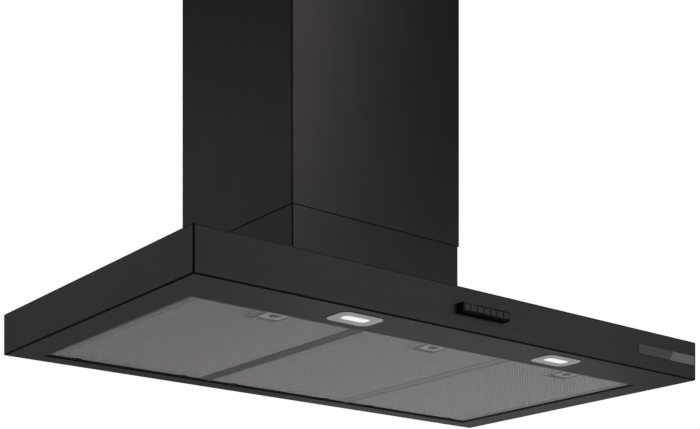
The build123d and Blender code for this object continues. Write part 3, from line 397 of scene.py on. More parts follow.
def galvanised_sheet(name, scale, dark, light):
    """Zinc coated sheet with visible crystals."""
    finish = Finish(name, 0.9, 0.4)
    zinc = finish.effect("zinc_spangle", Scale=scale)
    marks = finish.effect("wiped_smudges", Scale=11.0)
    finish.colour(finish.mixed(zinc.outputs["Tone"], marks.outputs["Clouds"], 0.45), dark, light)
    finish.roughness(zinc.outputs["Tone"], 0.28, 0.52)
    finish.bump(zinc.outputs["Border"], 0.00003, 0.3)
    return finish.material


STEEL_UPRIGHT = coated_steel("coated_steel_upright", UPRIGHT, COAT_DARK, COAT_LIGHT)
STEEL_LEVEL = coated_steel("coated_steel_level", LEVEL, COAT_DARK, COAT_LIGHT)
# The folds' near-black finish is painted shade along every edge.
STEEL_PAINTED_EDGE_SHADE = painted_edge_shade_coat("coated_steel_fold")
GALVANISED = galvanised_sheet("galvanised_sheet", 85.0, (0.34, 0.35, 0.36), (0.62, 0.64, 0.66))
ZINC_WHEEL = galvanised_sheet("zinc_wheel", 240.0, (0.30, 0.31, 0.33), (0.52, 0.53, 0.56))
FILTER_STRAND = bare_metal("filter_strand", (0.62, 0.590, 0.600), (0.88, 0.840, 0.853), (0.36, 0.6))
FILTER_SHEET = bare_metal("filter_sheet", (0.50, 0.480, 0.487), (0.74, 0.710, 0.722), (0.4, 0.6), UPRIGHT)
FILTER_RAIL = bare_metal("filter_rail", (0.34, 0.335, 0.345), (0.50, 0.49, 0.505), (0.34, 0.5))
FILTER_RAIL_PAINTED_SHADE = bare_metal("filter_rail_dark", (0.14, 0.133, 0.133), (0.25, 0.238, 0.232), (0.4, 0.55))
SATIN_SILVER = bare_metal("satin_silver", (0.46, 0.46, 0.47), (0.66, 0.66, 0.67), (0.24, 0.38))
BEZEL_SATIN = bare_metal("bezel_satin", (0.68, 0.68, 0.69), (0.88, 0.88, 0.89), (0.42, 0.55))
LACQUERED_IRON = bare_metal("lacquered_iron", (0.06, 0.065, 0.07), (0.13, 0.135, 0.14), (0.35, 0.6),
                            UPRIGHT, 0.7)
GROUND_STEEL = bare_metal("ground_steel", (0.5, 0.5, 0.5), (0.72, 0.72, 0.72), (0.18, 0.32))
SCREW_ZINC = bare_metal("screw_zinc", (0.42, 0.43, 0.45), (0.66, 0.67, 0.69), (0.22, 0.4))

# %% [markdown]
# ### Plastics, boards and lamp windows
# Moulded parts share one grain at different sizes and gloss. The lamp window is frosted acrylic, lit from
# behind.

# %% Plastic and lamp finishes
def moulded(name, dark, light, rough, scale=1400.0, coat=0.0, shine=0.5):
    """Moulded plastic with spark-eroded grain and slight wear."""
    finish = Finish(name, 0.0, 0.5, Coat_Weight=coat, Specular_IOR_Level=shine)
    mould = finish.effect("mould_grain", Scale=scale)
    finish.colour(mould.outputs["Wear"], dark, light)
    finish.roughness(mould.outputs["Wear"], *rough)
    finish.bump(mould.outputs["Grain"], 0.00006, 0.35)
    return finish.material


def lit_window(name):
    """Frosted window with the glow of the board behind it."""
    finish = Finish(name, 0.0, 0.35, Emission_Strength=0.62)
    finish.shader.inputs["Base Color"].default_value = (0.86, 0.87, 0.84, 1.0)
    mould = finish.effect("mould_grain", Scale=900.0)
    blend = finish.tree.nodes.new("ShaderNodeMix")
    blend.data_type = "RGBA"
    blend.inputs["A"].default_value = (0.90, 0.92, 0.86, 1.0)
    blend.inputs["B"].default_value = (1.0, 1.0, 0.97, 1.0)
    finish.tree.links.new(mould.outputs["Wear"], blend.inputs["Factor"])
    finish.tree.links.new(blend.outputs["Result"], finish.shader.inputs["Emission Color"])
    finish.bump(mould.outputs["Grain"], 0.00008, 0.4)
    return finish.material


BLACK_PLASTIC = moulded("black_plastic", (0.012, 0.012, 0.013), (0.024, 0.024, 0.026), (0.35, 0.55))
LATCH_GREY = moulded("latch_grey", (0.50, 0.50, 0.51), (0.62, 0.62, 0.63), (0.4, 0.6))
FLAP_PLASTIC = moulded("flap_plastic", (0.06, 0.06, 0.062), (0.10, 0.10, 0.10), (0.45, 0.6))
WHITE_CAN = moulded("white_can", (0.62, 0.62, 0.60), (0.74, 0.74, 0.71), (0.3, 0.5))
BOARD_GREEN = moulded("board_green", (0.012, 0.085, 0.035), (0.025, 0.14, 0.06), (0.3, 0.45), 500.0, 0.4)
BUTTON_FACE = coated_steel("button_face", UPRIGHT, (0.034, 0.031, 0.035), (0.050, 0.046, 0.051), (0.34, 0.46))
TRIM_DARK = moulded("trim_dark", (0.080, 0.070, 0.082), (0.101, 0.088, 0.104), (0.40, 0.52), 2200.0)
TRIM_LIGHT = moulded("trim_light", (0.215, 0.195, 0.216), (0.272, 0.249, 0.275), (0.38, 0.5), 2200.0)
# Near-black matt plastic, used as painted shade on the filters' gap lines and on the button block's sides.
PAINTED_SHADE_BLACK = moulded("seal_black", (0.003, 0.003, 0.003), (0.006, 0.006, 0.006), (0.6, 0.75), 900.0,
                      shine=0.08)
LAMP_WINDOW = lit_window("lamp_window")


def floor_finish():
    """Pale, matt studio floor with a hint of unevenness."""
    finish = Finish("studio_floor", 0.0, 0.7)
    marks = finish.effect("wiped_smudges", Scale=1.3)
    finish.colour(marks.outputs["Clouds"], (0.80, 0.80, 0.80), (0.86, 0.86, 0.86))
    return finish.material


FLOOR.data.materials.append(floor_finish())
print("materials:", len(bpy.data.materials))

# %% [markdown]
# ## Sheet-metal helpers
# Folded sheet can be made by extruding a profile, by solidifying a surface or by carving a block. Here a
# block with rounded folds is carved with a smaller one, because it gives both the right wall and sharp
# cut edges in one step, and openings are carved the same way. Each carved piece becomes a plain mesh,
# and a last small bevel breaks its cut edges.

# %% Blocks, carving and finishing
def link(name, mesh):
    """A new object holding the mesh, at the origin."""
    made = bpy.data.objects.new(name, mesh)
    bpy.context.scene.collection.objects.link(made)
    return made


# Slot 1 carries the painted edge shade on the rounded folds.
FACE_KINDS = 2            # slot 0 is the sheet, slot 1 its folds
OVER = 0.01               # how far a cutter runs past what it cuts
BITE = 0.001              # how far joined solids overlap, and the tolerance for picking edges


def from_bmesh(bm, name):
    """A working object from a bmesh, its normals outward and its material slots still empty."""
    bmesh.ops.recalc_face_normals(bm, faces=bm.faces)
    mesh = bpy.data.meshes.new(name)
    bm.to_mesh(mesh)
    bm.free()
    for _ in range(FACE_KINDS):
        mesh.materials.append(None)
    return link(name, mesh)


def block(lo, hi, radius=0.0, pick=None, segments=4, fold=0, tint=0):
    """A box mesh between two corners; edges that pick accepts are rounded by radius."""
    bm = bmesh.new()
    bmesh.ops.create_cube(bm, size=1.0)
    centre = (Vector(lo) + Vector(hi)) / 2
    size = Vector(hi) - Vector(lo)
    for v in bm.verts:
        v.co = Vector((v.co.x * size.x, v.co.y * size.y, v.co.z * size.z)) + centre
    if radius:
        edges = [e for e in bm.edges if pick is None or pick(e)]
        bmesh.ops.bevel(bm, geom=edges, offset=radius, segments=segments, profile=0.5, affect="EDGES",
                        material=fold, clamp_overlap=True)
    if tint:
        for face in bm.faces:
            face.material_index = tint
    return from_bmesh(bm, "block")


def plain_mesh(obj, name):
    """The evaluated object as a plain mesh, without its modifiers."""
    graph = bpy.context.evaluated_depsgraph_get()
    mesh = bpy.data.meshes.new_from_object(obj.evaluated_get(graph))
    mesh.name = name
    return mesh


def drop(*objects):
    """Removes working objects."""
    for each in objects:
        bpy.data.objects.remove(each)


def carve(body, cutters, operation="DIFFERENCE"):
    """body less every cutter (or joined with them), as a plain mesh again."""
    for cutter in cutters:
        step = body.modifiers.new("carve", "BOOLEAN")
        step.operation = operation
        step.solver = "EXACT"
        step.object = cutter
    mesh = plain_mesh(body, "carved")
    body.modifiers.clear()
    body.data = mesh
    drop(*cutters)
    return body


def along(axis):
    """Accepts edges that run along an axis: 0, 1 or 2."""
    def accept(edge):
        run = edge.verts[1].co - edge.verts[0].co
        return abs(run[axis]) > 0.99 * run.length
    return accept


def in_front(y):
    """Accepts edges that lie in the front face, at y."""
    return lambda edge: max(v.co.y for v in edge.verts) < y + BITE


BROAD = 2.0 * MM          # a face with less area than this times its longest edge is a fold or a bevel


def smooth(mesh, degrees=32.0):
    """Smooth shading on the narrow rounded faces; broad faces stay flat and so keep their own normal."""
    bm = bmesh.new()
    bm.from_mesh(mesh)
    limit = math.radians(degrees)
    for face in bm.faces:
        longest = max(edge.calc_length() for edge in face.edges)
        face.smooth = face.calc_area() < BROAD * longest
    for edge in bm.edges:
        edge.smooth = len(edge.link_faces) == 2 and edge.calc_face_angle(0.0) < limit
    bm.to_mesh(mesh)
    bm.free()


def dress(mesh, materials):
    """Fills a mesh's material slots and keeps which face uses which."""
    last = len(materials) - 1
    for face in mesh.polygons:
        face.material_index = min(face.material_index, last)
    while len(mesh.materials) > len(materials):
        mesh.materials.pop()
    for i, material in enumerate(materials):
        if i < len(mesh.materials):
            mesh.materials[i] = material
        else:
            mesh.materials.append(material)


def finished(obj, name, body, materials, replaces=(), edge=0.0):
    """Names a piece, breaks its sharp edges, gives it finishes and lets it ride on its body."""
    if edge:
        trim = obj.modifiers.new("broken_edges", "BEVEL")
        trim.width = edge
        trim.segments = 2
        trim.limit_method = "ANGLE"
        trim.angle_limit = math.radians(50.0)
        trim.use_clamp_overlap = True
        mesh = plain_mesh(obj, name)
        obj.modifiers.clear()
        obj.data = mesh
    obj.name = name
    obj.data.name = name
    smooth(obj.data)
    dress(obj.data, materials)
    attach(obj, body)
    if replaces:
        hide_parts(*replaces)
    print(f"{name}: {len(obj.data.polygons)} faces")
    return obj


def prism(outline, low, high, axis=2):
    """A straight prism: an outline in the plane across an axis, run from low to high along it."""
    bm = bmesh.new()
    ends = []
    for level in (low, high):
        corners = []
        for u, v in outline:
            place = [u, v]
            place.insert(axis, level)
            corners.append(bm.verts.new(place))
        ends.append(corners)
    count = len(outline)
    bm.faces.new(ends[0])
    bm.faces.new(ends[1])
    for i in range(count):
        j = (i + 1) % count
        bm.faces.new((ends[0][i], ends[0][j], ends[1][j], ends[1][i]))
    return from_bmesh(bm, "prism")


def circle(u, v, radius, steps=32, start=0.0, turn=360.0):
    """Points on a circle or an arc, for a prism's outline."""
    whole = turn == 360.0
    angles = [start + turn * i / (steps if whole else steps - 1) for i in range(steps)]
    return [(u + radius * math.cos(math.radians(a)), v + radius * math.sin(math.radians(a))) for a in angles]


# %% [markdown]
# ## Canopy
# The canopy's front, ends and top are one sheet, folded down on three sides and open at the back and
# below. Its folds have a small outer radius, and the near-black finish on that radius is painted shade that
# draws the dark line at every edge.

# %% Canopy shell
SHEET = 1.2 * MM
FOLD = 2.0 * MM
SHELL_LO, SHELL_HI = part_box("canopy_shell")
BLOCK_LO, BLOCK_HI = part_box("button_housing")
BUTTON_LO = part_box("button_1")[0]
CUT_EDGE = 0.25 * MM
INTAKE_INSET = 0.019
INTAKE_ROUND = 0.004
BLOCK_GAP = 0.3 * MM


def shell_fold(edge):
    """The shell's folds: front corners, the top's front and end edges and the lower rim."""
    mid = (edge.verts[0].co + edge.verts[1].co) / 2
    return mid.y < SHELL_HI.y - BITE


def canopy_skin():
    """The folded sheet, its intake hole and the opening for the push buttons."""
    outer = block(SHELL_LO, SHELL_HI, FOLD, shell_fold, fold=1)
    inner_lo = SHELL_LO + Vector((SHEET, SHEET, -2 * OVER))
    inner_hi = SHELL_HI + Vector((-SHEET, 2 * OVER, -SHEET))
    inner = block(inner_lo, inner_hi)
    air_lo, air_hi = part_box("air_box")
    intake = block((air_lo.x + INTAKE_INSET, air_lo.y + INTAKE_INSET, air_lo.z - OVER),
                   (air_hi.x - INTAKE_INSET, air_hi.y - INTAKE_INSET, air_lo.z + OVER),
                   INTAKE_ROUND, along(2))
    wide = BLOCK_W_HALF + BLOCK_GAP
    tall = BLOCK_H_HALF + BLOCK_GAP
    opening = block((-wide, SHELL_LO.y - OVER, -tall), (wide, SHELL_LO.y + OVER, tall))
    return carve(outer, [inner, intake, opening])


# The housing's flange is wider than the block itself, so the block's own size comes from the buttons.
BUTTON_WALL = 1.75 * MM
BLOCK_W_HALF = -BUTTON_LO.x + BUTTON_WALL
BLOCK_H_HALF = -BUTTON_LO.z + BUTTON_WALL
finished(canopy_skin(), "canopy_skin", "canopy", [STEEL_LEVEL, STEEL_PAINTED_EDGE_SHADE], ["canopy_shell"],
         CUT_EDGE)

# %% [markdown]
# ## Underside
# The lower panel is a tray of its own: a flat sheet with edges folded up round the rim and round the
# filter opening, dropped in between the shell's walls with a hairline gap. Two rounded holes take lamps.

# %% Underside panel
PANEL_LO, PANEL_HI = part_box("underside_panel")
RAIL_LO, RAIL_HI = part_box("hinge_rail")
OPEN_HALF = -RAIL_LO.x
FILTER_GAP = 1.2 * MM
TRAY_FOLD = 0.5 * MM
LAMP_HOLE_RIM = 8.0 * MM
LAMP_HOLE_R = 8.0 * MM
OPEN_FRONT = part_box("filter_1_frame")[0].y - FILTER_GAP
OPEN_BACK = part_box("hinge_rail")[0].y


def rounded_plate(centre, size, radius, z_low, z_high, segments=8):
    """An upright block with rounded vertical corners."""
    half = Vector((size[0] / 2, size[1] / 2, 0.0))
    mid = Vector((centre[0], centre[1], 0.0))
    lo = mid - half
    hi = mid + half
    return block((lo.x, lo.y, z_low), (hi.x, hi.y, z_high), radius, along(2), segments)


def tray_rim(edge):
    """The edges of the tray's lower face."""
    return max(v.co.z for v in edge.verts) < PANEL_LO.z + 1e-6


def underside():
    """Tray with an outer rim, a rim round the opening and two lamp holes."""
    tray = block(PANEL_LO, PANEL_HI, TRAY_FOLD, tray_rim, fold=1)
    room = block((PANEL_LO.x + SHEET, PANEL_LO.y + SHEET, PANEL_LO.z + SHEET),
                 (PANEL_HI.x - SHEET, PANEL_HI.y + OVER, PANEL_HI.z + OVER))
    keep = block((-OPEN_HALF - SHEET, OPEN_FRONT - SHEET, PANEL_LO.z - OVER),
                 (OPEN_HALF + SHEET, OPEN_BACK, PANEL_HI.z + 0.02))
    room = carve(room, [keep])
    opening = block((-OPEN_HALF, OPEN_FRONT, PANEL_LO.z - OVER),
                    (OPEN_HALF, OPENING_BACK, PANEL_HI.z + OVER))
    holes = []
    for side in ("left", "right"):
        lo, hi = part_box(f"lamp_{side}_bezel")
        centre = (lo + hi) / 2
        size = (hi.x - lo.x - LAMP_HOLE_RIM, hi.y - lo.y - LAMP_HOLE_RIM)
        holes.append(rounded_plate(centre, size, LAMP_HOLE_R,
                                   PANEL_LO.z - OVER, PANEL_LO.z + 0.008))
    return carve(tray, [room, opening, *holes])


OPENING_BACK = RAIL_HI.y - 14.0 * MM
finished(underside(), "underside_tray", "canopy", [STEEL_LEVEL, STEEL_PAINTED_EDGE_SHADE],
         ["underside_panel"], 0.2 * MM)

# %% [markdown]
# ## Chimney sleeves
# Two three-sided sleeves telescope into each other. Each is one sheet folded at the two front corners, with
# a narrow flange turned in along the wall. They are carved from blocks, so the corner folds are round and
# the lower edge of the upper sleeve stays a crisp cut line against the sleeve behind it.

# %% Upper and lower sleeve
SLEEVE = 1.0 * MM
SLEEVE_FOLD = 1.5 * MM
SLEEVE_LAP = 12.0 * MM
SCREW_HOLE = 2.0 * MM


def folded_sleeve(lo, hi):
    """Three sides of sheet with the wall flanges, open above, below and behind."""
    outer = block(lo, hi, SLEEVE_FOLD, along(2), fold=1)
    inner = block((lo.x + SLEEVE, lo.y + SLEEVE, lo.z - OVER),
                  (hi.x - SLEEVE, hi.y - SLEEVE, hi.z + OVER), SLEEVE_FOLD - SLEEVE, along(2))
    back = block((lo.x + SLEEVE_LAP, hi.y - OVER, lo.z - OVER),
                 (hi.x - SLEEVE_LAP, hi.y + OVER, hi.z + OVER))
    return carve(outer, [inner, back])


def islands(node):
    """The boxes of a CAD node's separate solids, lowest x first."""
    bm = bmesh.new()
    bm.from_mesh(NODES[node].data)
    bmesh.ops.remove_doubles(bm, verts=bm.verts, dist=0.00001)
    left = set(bm.verts)
    found = []
    while left:
        batch = [left.pop()]
        reached = list(batch)
        while batch:
            vert = batch.pop()
            for edge in vert.link_edges:
                other = edge.other_vert(vert)
                if other in left:
                    left.remove(other)
                    batch.append(other)
                    reached.append(other)
        lo = Vector([min(v.co[i] for v in reached) for i in range(3)])
        hi = Vector([max(v.co[i] for v in reached) for i in range(3)])
        found.append((lo, hi))
    bm.free()
    return sorted(found, key=lambda pair: pair[0].x)


UPPER_LO, UPPER_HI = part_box("upper_sleeve")
LOWER_LO, LOWER_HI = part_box("lower_sleeve")
FOOT_DEPTH = 12.5 * MM
FOOT_HALF = 75.0 * MM
upper = folded_sleeve(UPPER_LO, UPPER_HI)
screw_lo, screw_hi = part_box("bracket_screws")
screw_at = (screw_lo + screw_hi) / 2
screw_bore = prism(circle(screw_at.y, screw_at.z, SCREW_HOLE), UPPER_LO.x - OVER, UPPER_HI.x + OVER, 0)
upper = carve(upper, [screw_bore])
finished(upper, "upper_sleeve_skin", "chimney_top", [STEEL_UPRIGHT, STEEL_PAINTED_EDGE_SHADE], ["upper_sleeve"],
         0.2 * MM)
lower = folded_sleeve(LOWER_LO, LOWER_HI)
foot_mid = (LOWER_LO.y + LOWER_HI.y) / 2
feet = []
for side in (-1, 1):
    wall = side * (LOWER_HI.x - SLEEVE / 2)
    inner = side * (LOWER_HI.x - FOOT_DEPTH)
    feet.append(block((min(wall, inner), foot_mid - FOOT_HALF, LOWER_LO.z),
                      (max(wall, inner), foot_mid + FOOT_HALF, LOWER_LO.z + SLEEVE)))
lower = carve(lower, feet, "UNION")
holes = []
for lo, hi in islands("sleeve_screws"):
    mid = (lo + hi) / 2
    holes.append(prism(circle(mid.x, mid.y, SCREW_HOLE, 16), LOWER_LO.z - OVER, LOWER_LO.z + OVER))
finished(carve(lower, holes), "lower_sleeve_skin", "canopy", [STEEL_UPRIGHT, STEEL_PAINTED_EDGE_SHADE], ["lower_sleeve"],
         0.2 * MM)

# %% [markdown]
# ## Geometry Nodes helper
# Mesh strands, pleats and screws repeat many times, so Geometry Nodes make them. A tree is built in the
# script, with a named input for every size. The result is baked to a plain mesh straight away.

# %% Tree builder
class Grower:
    """A Geometry Nodes tree under construction."""

    def __init__(self, name, inputs):
        self.tree = bpy.data.node_groups.new(name, "GeometryNodeTree")
        face = self.tree.interface
        face.new_socket(name="Geometry", in_out="INPUT", socket_type="NodeSocketGeometry")
        for label, kind in inputs:
            face.new_socket(name=label, in_out="INPUT", socket_type="NodeSocket" + kind)
        face.new_socket(name="Geometry", in_out="OUTPUT", socket_type="NodeSocketGeometry")
        self.given = self.tree.nodes.new("NodeGroupInput").outputs
        self.out = self.tree.nodes.new("NodeGroupOutput").inputs

    def node(self, kind, feeds=(), **settings):
        """A node with its settings, and its sockets fed with numbers or links."""
        made = self.tree.nodes.new(kind)
        for label, value in settings.items():
            setattr(made, label, value)
        for key, value in dict(feeds).items():
            put(self.tree, made.inputs[key], value)
        return made

    def vector(self, operation, first, second):
        """A vector sum, and its result socket."""
        return self.node("ShaderNodeVectorMath", {0: first, 1: second}, operation=operation).outputs[0]

    def number(self, operation, first, second):
        """A number sum, and its result socket."""
        return math_node(self.tree, operation, first, second)

    def xyz(self, x=0.0, y=0.0, z=0.0):
        """A vector from three numbers."""
        return self.node("ShaderNodeCombineXYZ", {0: x, 1: y, 2: z}).outputs[0]

    def moved(self, geometry, shift, **turn):
        """Geometry shifted, and turned when a Rotation is given."""
        feeds = {"Geometry": geometry, "Translation": shift, **turn}
        return self.node("GeometryNodeTransform", feeds).outputs[0]

    def join(self, *parts):
        """Several geometries as one."""
        made = self.tree.nodes.new("GeometryNodeJoinGeometry")
        for part in parts:
            self.tree.links.new(part, made.inputs[0])
        return made.outputs[0]

    def end(self, geometry):
        """Realize Instances and Set Material, then the output."""
        real = self.node("GeometryNodeRealizeInstances", {0: geometry})
        painted = self.node("GeometryNodeSetMaterial", {"Geometry": real.outputs[0],
                                                        "Material": self.given["Material"]})
        put(self.tree, self.out["Geometry"], painted.outputs[0])
        return self

    def grow(self, host, name, **values):
        """Runs the tree once on a host object; the result is a plain mesh object."""
        step = host.modifiers.new(name, "NODES")
        step.node_group = self.tree
        for item in self.tree.interface.items_tree:
            key = item.name.replace(" ", "_").lower()
            if item.in_out == "INPUT" and key in values:
                step[item.identifier] = values[key]
        mesh = plain_mesh(host, name)
        host.modifiers.remove(step)
        drop(host)
        return link(name, mesh)

    def inside(self, place, centre, half):
        """True where a point lies in an upright column about centre."""
        away = self.node("ShaderNodeVectorMath", {0: self.vector("SUBTRACT", place, centre)},
                         operation="ABSOLUTE").outputs[0]
        share = self.node("ShaderNodeSeparateXYZ", {0: self.vector("DIVIDE", away, half)})
        return self.number("LESS_THAN", self.number("MAXIMUM", share.outputs[0], share.outputs[1]), 1.0)


def empty_host():
    """An object with an empty mesh, for a tree that makes its own geometry."""
    return link("host", bpy.data.meshes.new("host"))


print("tree builder ready")

# %% [markdown]
# ## Expanded mesh
# A grease filter's face is expanded aluminium: slit sheet pulled open into small diamonds, whose strands
# stand slightly tilted. Two grids of points, one shifted by half a cell, carry one V of two strands each,
# and together they make the whole net. Columns round the latch cup and the hinge notches stay empty.

# %% Mesh tree
HOLES = ("Latch", "Ear A", "Ear B")


def mesh_tree():
    """The net: points in two grids, and a V of two tilted strands on every point."""
    sizes = [("Middle", "Vector"), ("Width", "Float"), ("Length", "Float"), ("Cell Width", "Float"),
             ("Cell Length", "Float"), ("Columns", "Int"), ("Rows", "Int"), ("Strand Width", "Float"),
             ("Strand Thickness", "Float"), ("Strand Tilt", "Float"), ("Material", "Material")]
    for hole in HOLES:
        sizes += [(hole + " Middle", "Vector"), (hole + " Half", "Vector")]
    g = Grower("expanded_mesh", sizes)
    given = g.given
    even = g.node("GeometryNodeMeshGrid", {"Size X": given["Width"], "Size Y": given["Length"],
                                           "Vertices X": g.number("ADD", given["Columns"], 1.0),
                                           "Vertices Y": g.number("ADD", given["Rows"], 1.0)})
    less_x = g.number("SUBTRACT", given["Width"], given["Cell Width"])
    less_y = g.number("SUBTRACT", given["Length"], given["Cell Length"])
    odd = g.node("GeometryNodeMeshGrid", {"Size X": less_x, "Size Y": less_y, "Vertices X": given["Columns"],
                                          "Vertices Y": given["Rows"]})
    points = g.join(even.outputs["Mesh"], odd.outputs["Mesh"])
    placed = g.moved(points, given["Middle"])
    place = g.node("GeometryNodeInputPosition").outputs[0]
    reach = g.vector("SUBTRACT", place, given["Middle"])
    top = g.node("ShaderNodeSeparateXYZ", {0: reach}).outputs[1]
    limit = g.number("SUBTRACT", g.number("MULTIPLY", given["Length"], 0.5), 0.0005)
    masked = g.number("GREATER_THAN", top, limit)
    for hole in HOLES:
        masked = g.number("MAXIMUM", masked, g.inside(place, given[hole + " Middle"], given[hole + " Half"]))
    kept = g.node("GeometryNodeDeleteGeometry", {"Geometry": placed, "Selection": masked},
                  domain="POINT")
    run = g.number("MULTIPLY", given["Cell Width"], 0.5)
    rise = g.number("MULTIPLY", given["Cell Length"], 0.5)
    squares = g.number("ADD", g.number("MULTIPLY", run, run), g.number("MULTIPLY", rise, rise))
    span = g.number("SQRT", squares, 0.0)
    angle = g.number("ARCTAN2", rise, run)
    half_run = g.number("MULTIPLY", run, 0.5)
    half_rise = g.number("MULTIPLY", rise, 0.5)
    size = g.xyz(span, given["Strand Width"], given["Strand Thickness"])
    bar = g.node("GeometryNodeMeshCube", {"Size": size}).outputs["Mesh"]
    arms = []
    for side in (1.0, -1.0):
        shift = g.xyz(g.number("MULTIPLY", half_run, side), half_rise)
        turn = g.xyz(given["Strand Tilt"], z=g.number("MULTIPLY", angle, side))
        arms.append(g.moved(bar, shift, Rotation=turn))
    net = g.node("GeometryNodeInstanceOnPoints", {"Points": kept.outputs[0], "Instance": g.join(*arms)})
    return g.end(net.outputs[0])


MESH_TREE = mesh_tree()

# %% [markdown]
# ## Pleated pack
# Between a filter's two faces lies a pleated sheet that catches the grease. A flat grid is folded by
# lifting every other row of points, the faces round the latch cup are removed, and an extrusion
# gives the sheet its thickness.

# %% Pleat tree
def pleat_tree():
    """A zigzag sheet whose folds run along Y."""
    g = Grower("pleated_pack", [("Middle", "Vector"), ("Width", "Float"), ("Length", "Float"),
                                ("Height", "Float"), ("Folds", "Int"), ("Rows", "Int"), ("Sheet", "Float"),
                                ("Latch Middle", "Vector"), ("Latch Half", "Vector"),
                                ("Material", "Material")])
    given = g.given
    flat = g.node("GeometryNodeMeshGrid", {"Size X": given["Width"], "Size Y": given["Length"],
                                           "Vertices X": g.number("ADD", given["Folds"], 1.0),
                                           "Vertices Y": g.number("ADD", given["Rows"], 1.0)})
    place = g.node("GeometryNodeInputPosition").outputs[0]
    across = g.node("ShaderNodeSeparateXYZ", {0: place}).outputs[0]
    fold = g.number("DIVIDE", given["Width"], given["Folds"])
    share = g.number("DIVIDE", g.number("ADD", across, g.number("MULTIPLY", given["Width"], 0.5)), fold)
    wave = g.number("SUBTRACT", g.number("PINGPONG", share, 1.0), 0.5)
    lift = g.xyz(z=g.number("MULTIPLY", wave, given["Height"]))
    zigzag = g.node("GeometryNodeSetPosition", {"Geometry": flat.outputs["Mesh"], "Offset": lift})
    placed = g.moved(zigzag.outputs[0], given["Middle"])
    there = g.node("GeometryNodeInputPosition").outputs[0]
    gap = g.inside(there, given["Latch Middle"], given["Latch Half"])
    kept = g.node("GeometryNodeDeleteGeometry", {"Geometry": placed, "Selection": gap}, domain="FACE")
    thick = g.node("GeometryNodeExtrudeMesh", {"Mesh": kept.outputs[0], "Offset Scale": given["Sheet"],
                                               "Individual": False})
    under = g.node("GeometryNodeFlipFaces", {0: kept.outputs[0]})
    closed = g.node("GeometryNodeMergeByDistance", {"Geometry": g.join(thick.outputs[0], under.outputs[0]),
                                                    "Distance": 0.00001})
    return g.end(closed.outputs[0])


PLEAT_TREE = pleat_tree()
print("trees:", MESH_TREE.tree.name, PLEAT_TREE.tree.name)

# %% [markdown]
# ## Filter frames
# Each filter's frame is a rolled channel: a narrow rim below, a wider ledge behind it that holds the mesh,
# and a broad cover strip on the right that hides the joint to its neighbour. At the back two notches
# clear the hinge ears, each crossed by a hinge pin.

# %% Frames with pins
RIM = 4.0 * MM
COVER_STRIP = 18.5 * MM
CHANNEL = 13.0 * MM
POCKET = 2.0 * MM
EAR_INSET = 45.0 * MM
HINGE_IN = 3.5 * MM
NOTCH_HALF = 4.0 * MM
NOTCH_REACH = 6.0 * MM
PIN_R = 1.5 * MM
PIN_BEYOND = 1.0 * MM
# Sizes of the near-black strips that paint the gap shade along the filter edges.
SHADE_STRIP_WIDTH = 8.5 * MM
SHADE_STRIP_PROUD = 0.15 * MM
SHADE_STRIP_END = 1.0 * MM
SHADE_STRIP_EDGE = 0.5 * MM
TONGUE_SLOT_HALF = 7.5 * MM
FRAME_ROUND = 1.5 * MM
CUP_GAP = 0.2 * MM
FILTER_COUNT = 3


def filter_layout(number):
    """The sizes that a filter's pieces share, from its CAD nodes."""
    lo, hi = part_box(f"filter_{number}_frame")
    cup_lo, cup_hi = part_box(f"filter_{number}_latch_cup")
    middle = (lo + hi) / 2
    reach = (hi.x - lo.x) / 2 - EAR_INSET
    axis_y = hi.y - HINGE_IN
    return {"lo": lo, "hi": hi, "cup_lo": cup_lo, "cup_hi": cup_hi, "middle": middle,
            "cup_mid": (cup_lo + cup_hi) / 2, "cup_half": (cup_hi - cup_lo) / 2,
            "ears": [middle.x - reach, middle.x + reach], "axis_y": axis_y,
            "face_lo": Vector((lo.x + RIM, lo.y + RIM, lo.z)),
            "face_hi": Vector((hi.x - COVER_STRIP, hi.y - RIM, lo.z))}


def over_ears(f, top):
    """Cutters over both hinge ears, from below the frame up to a height."""
    return [block((x - NOTCH_HALF, f["axis_y"] - NOTCH_REACH, f["lo"].z - OVER),
                  (x + NOTCH_HALF, f["hi"].y + OVER, top)) for x in f["ears"]]


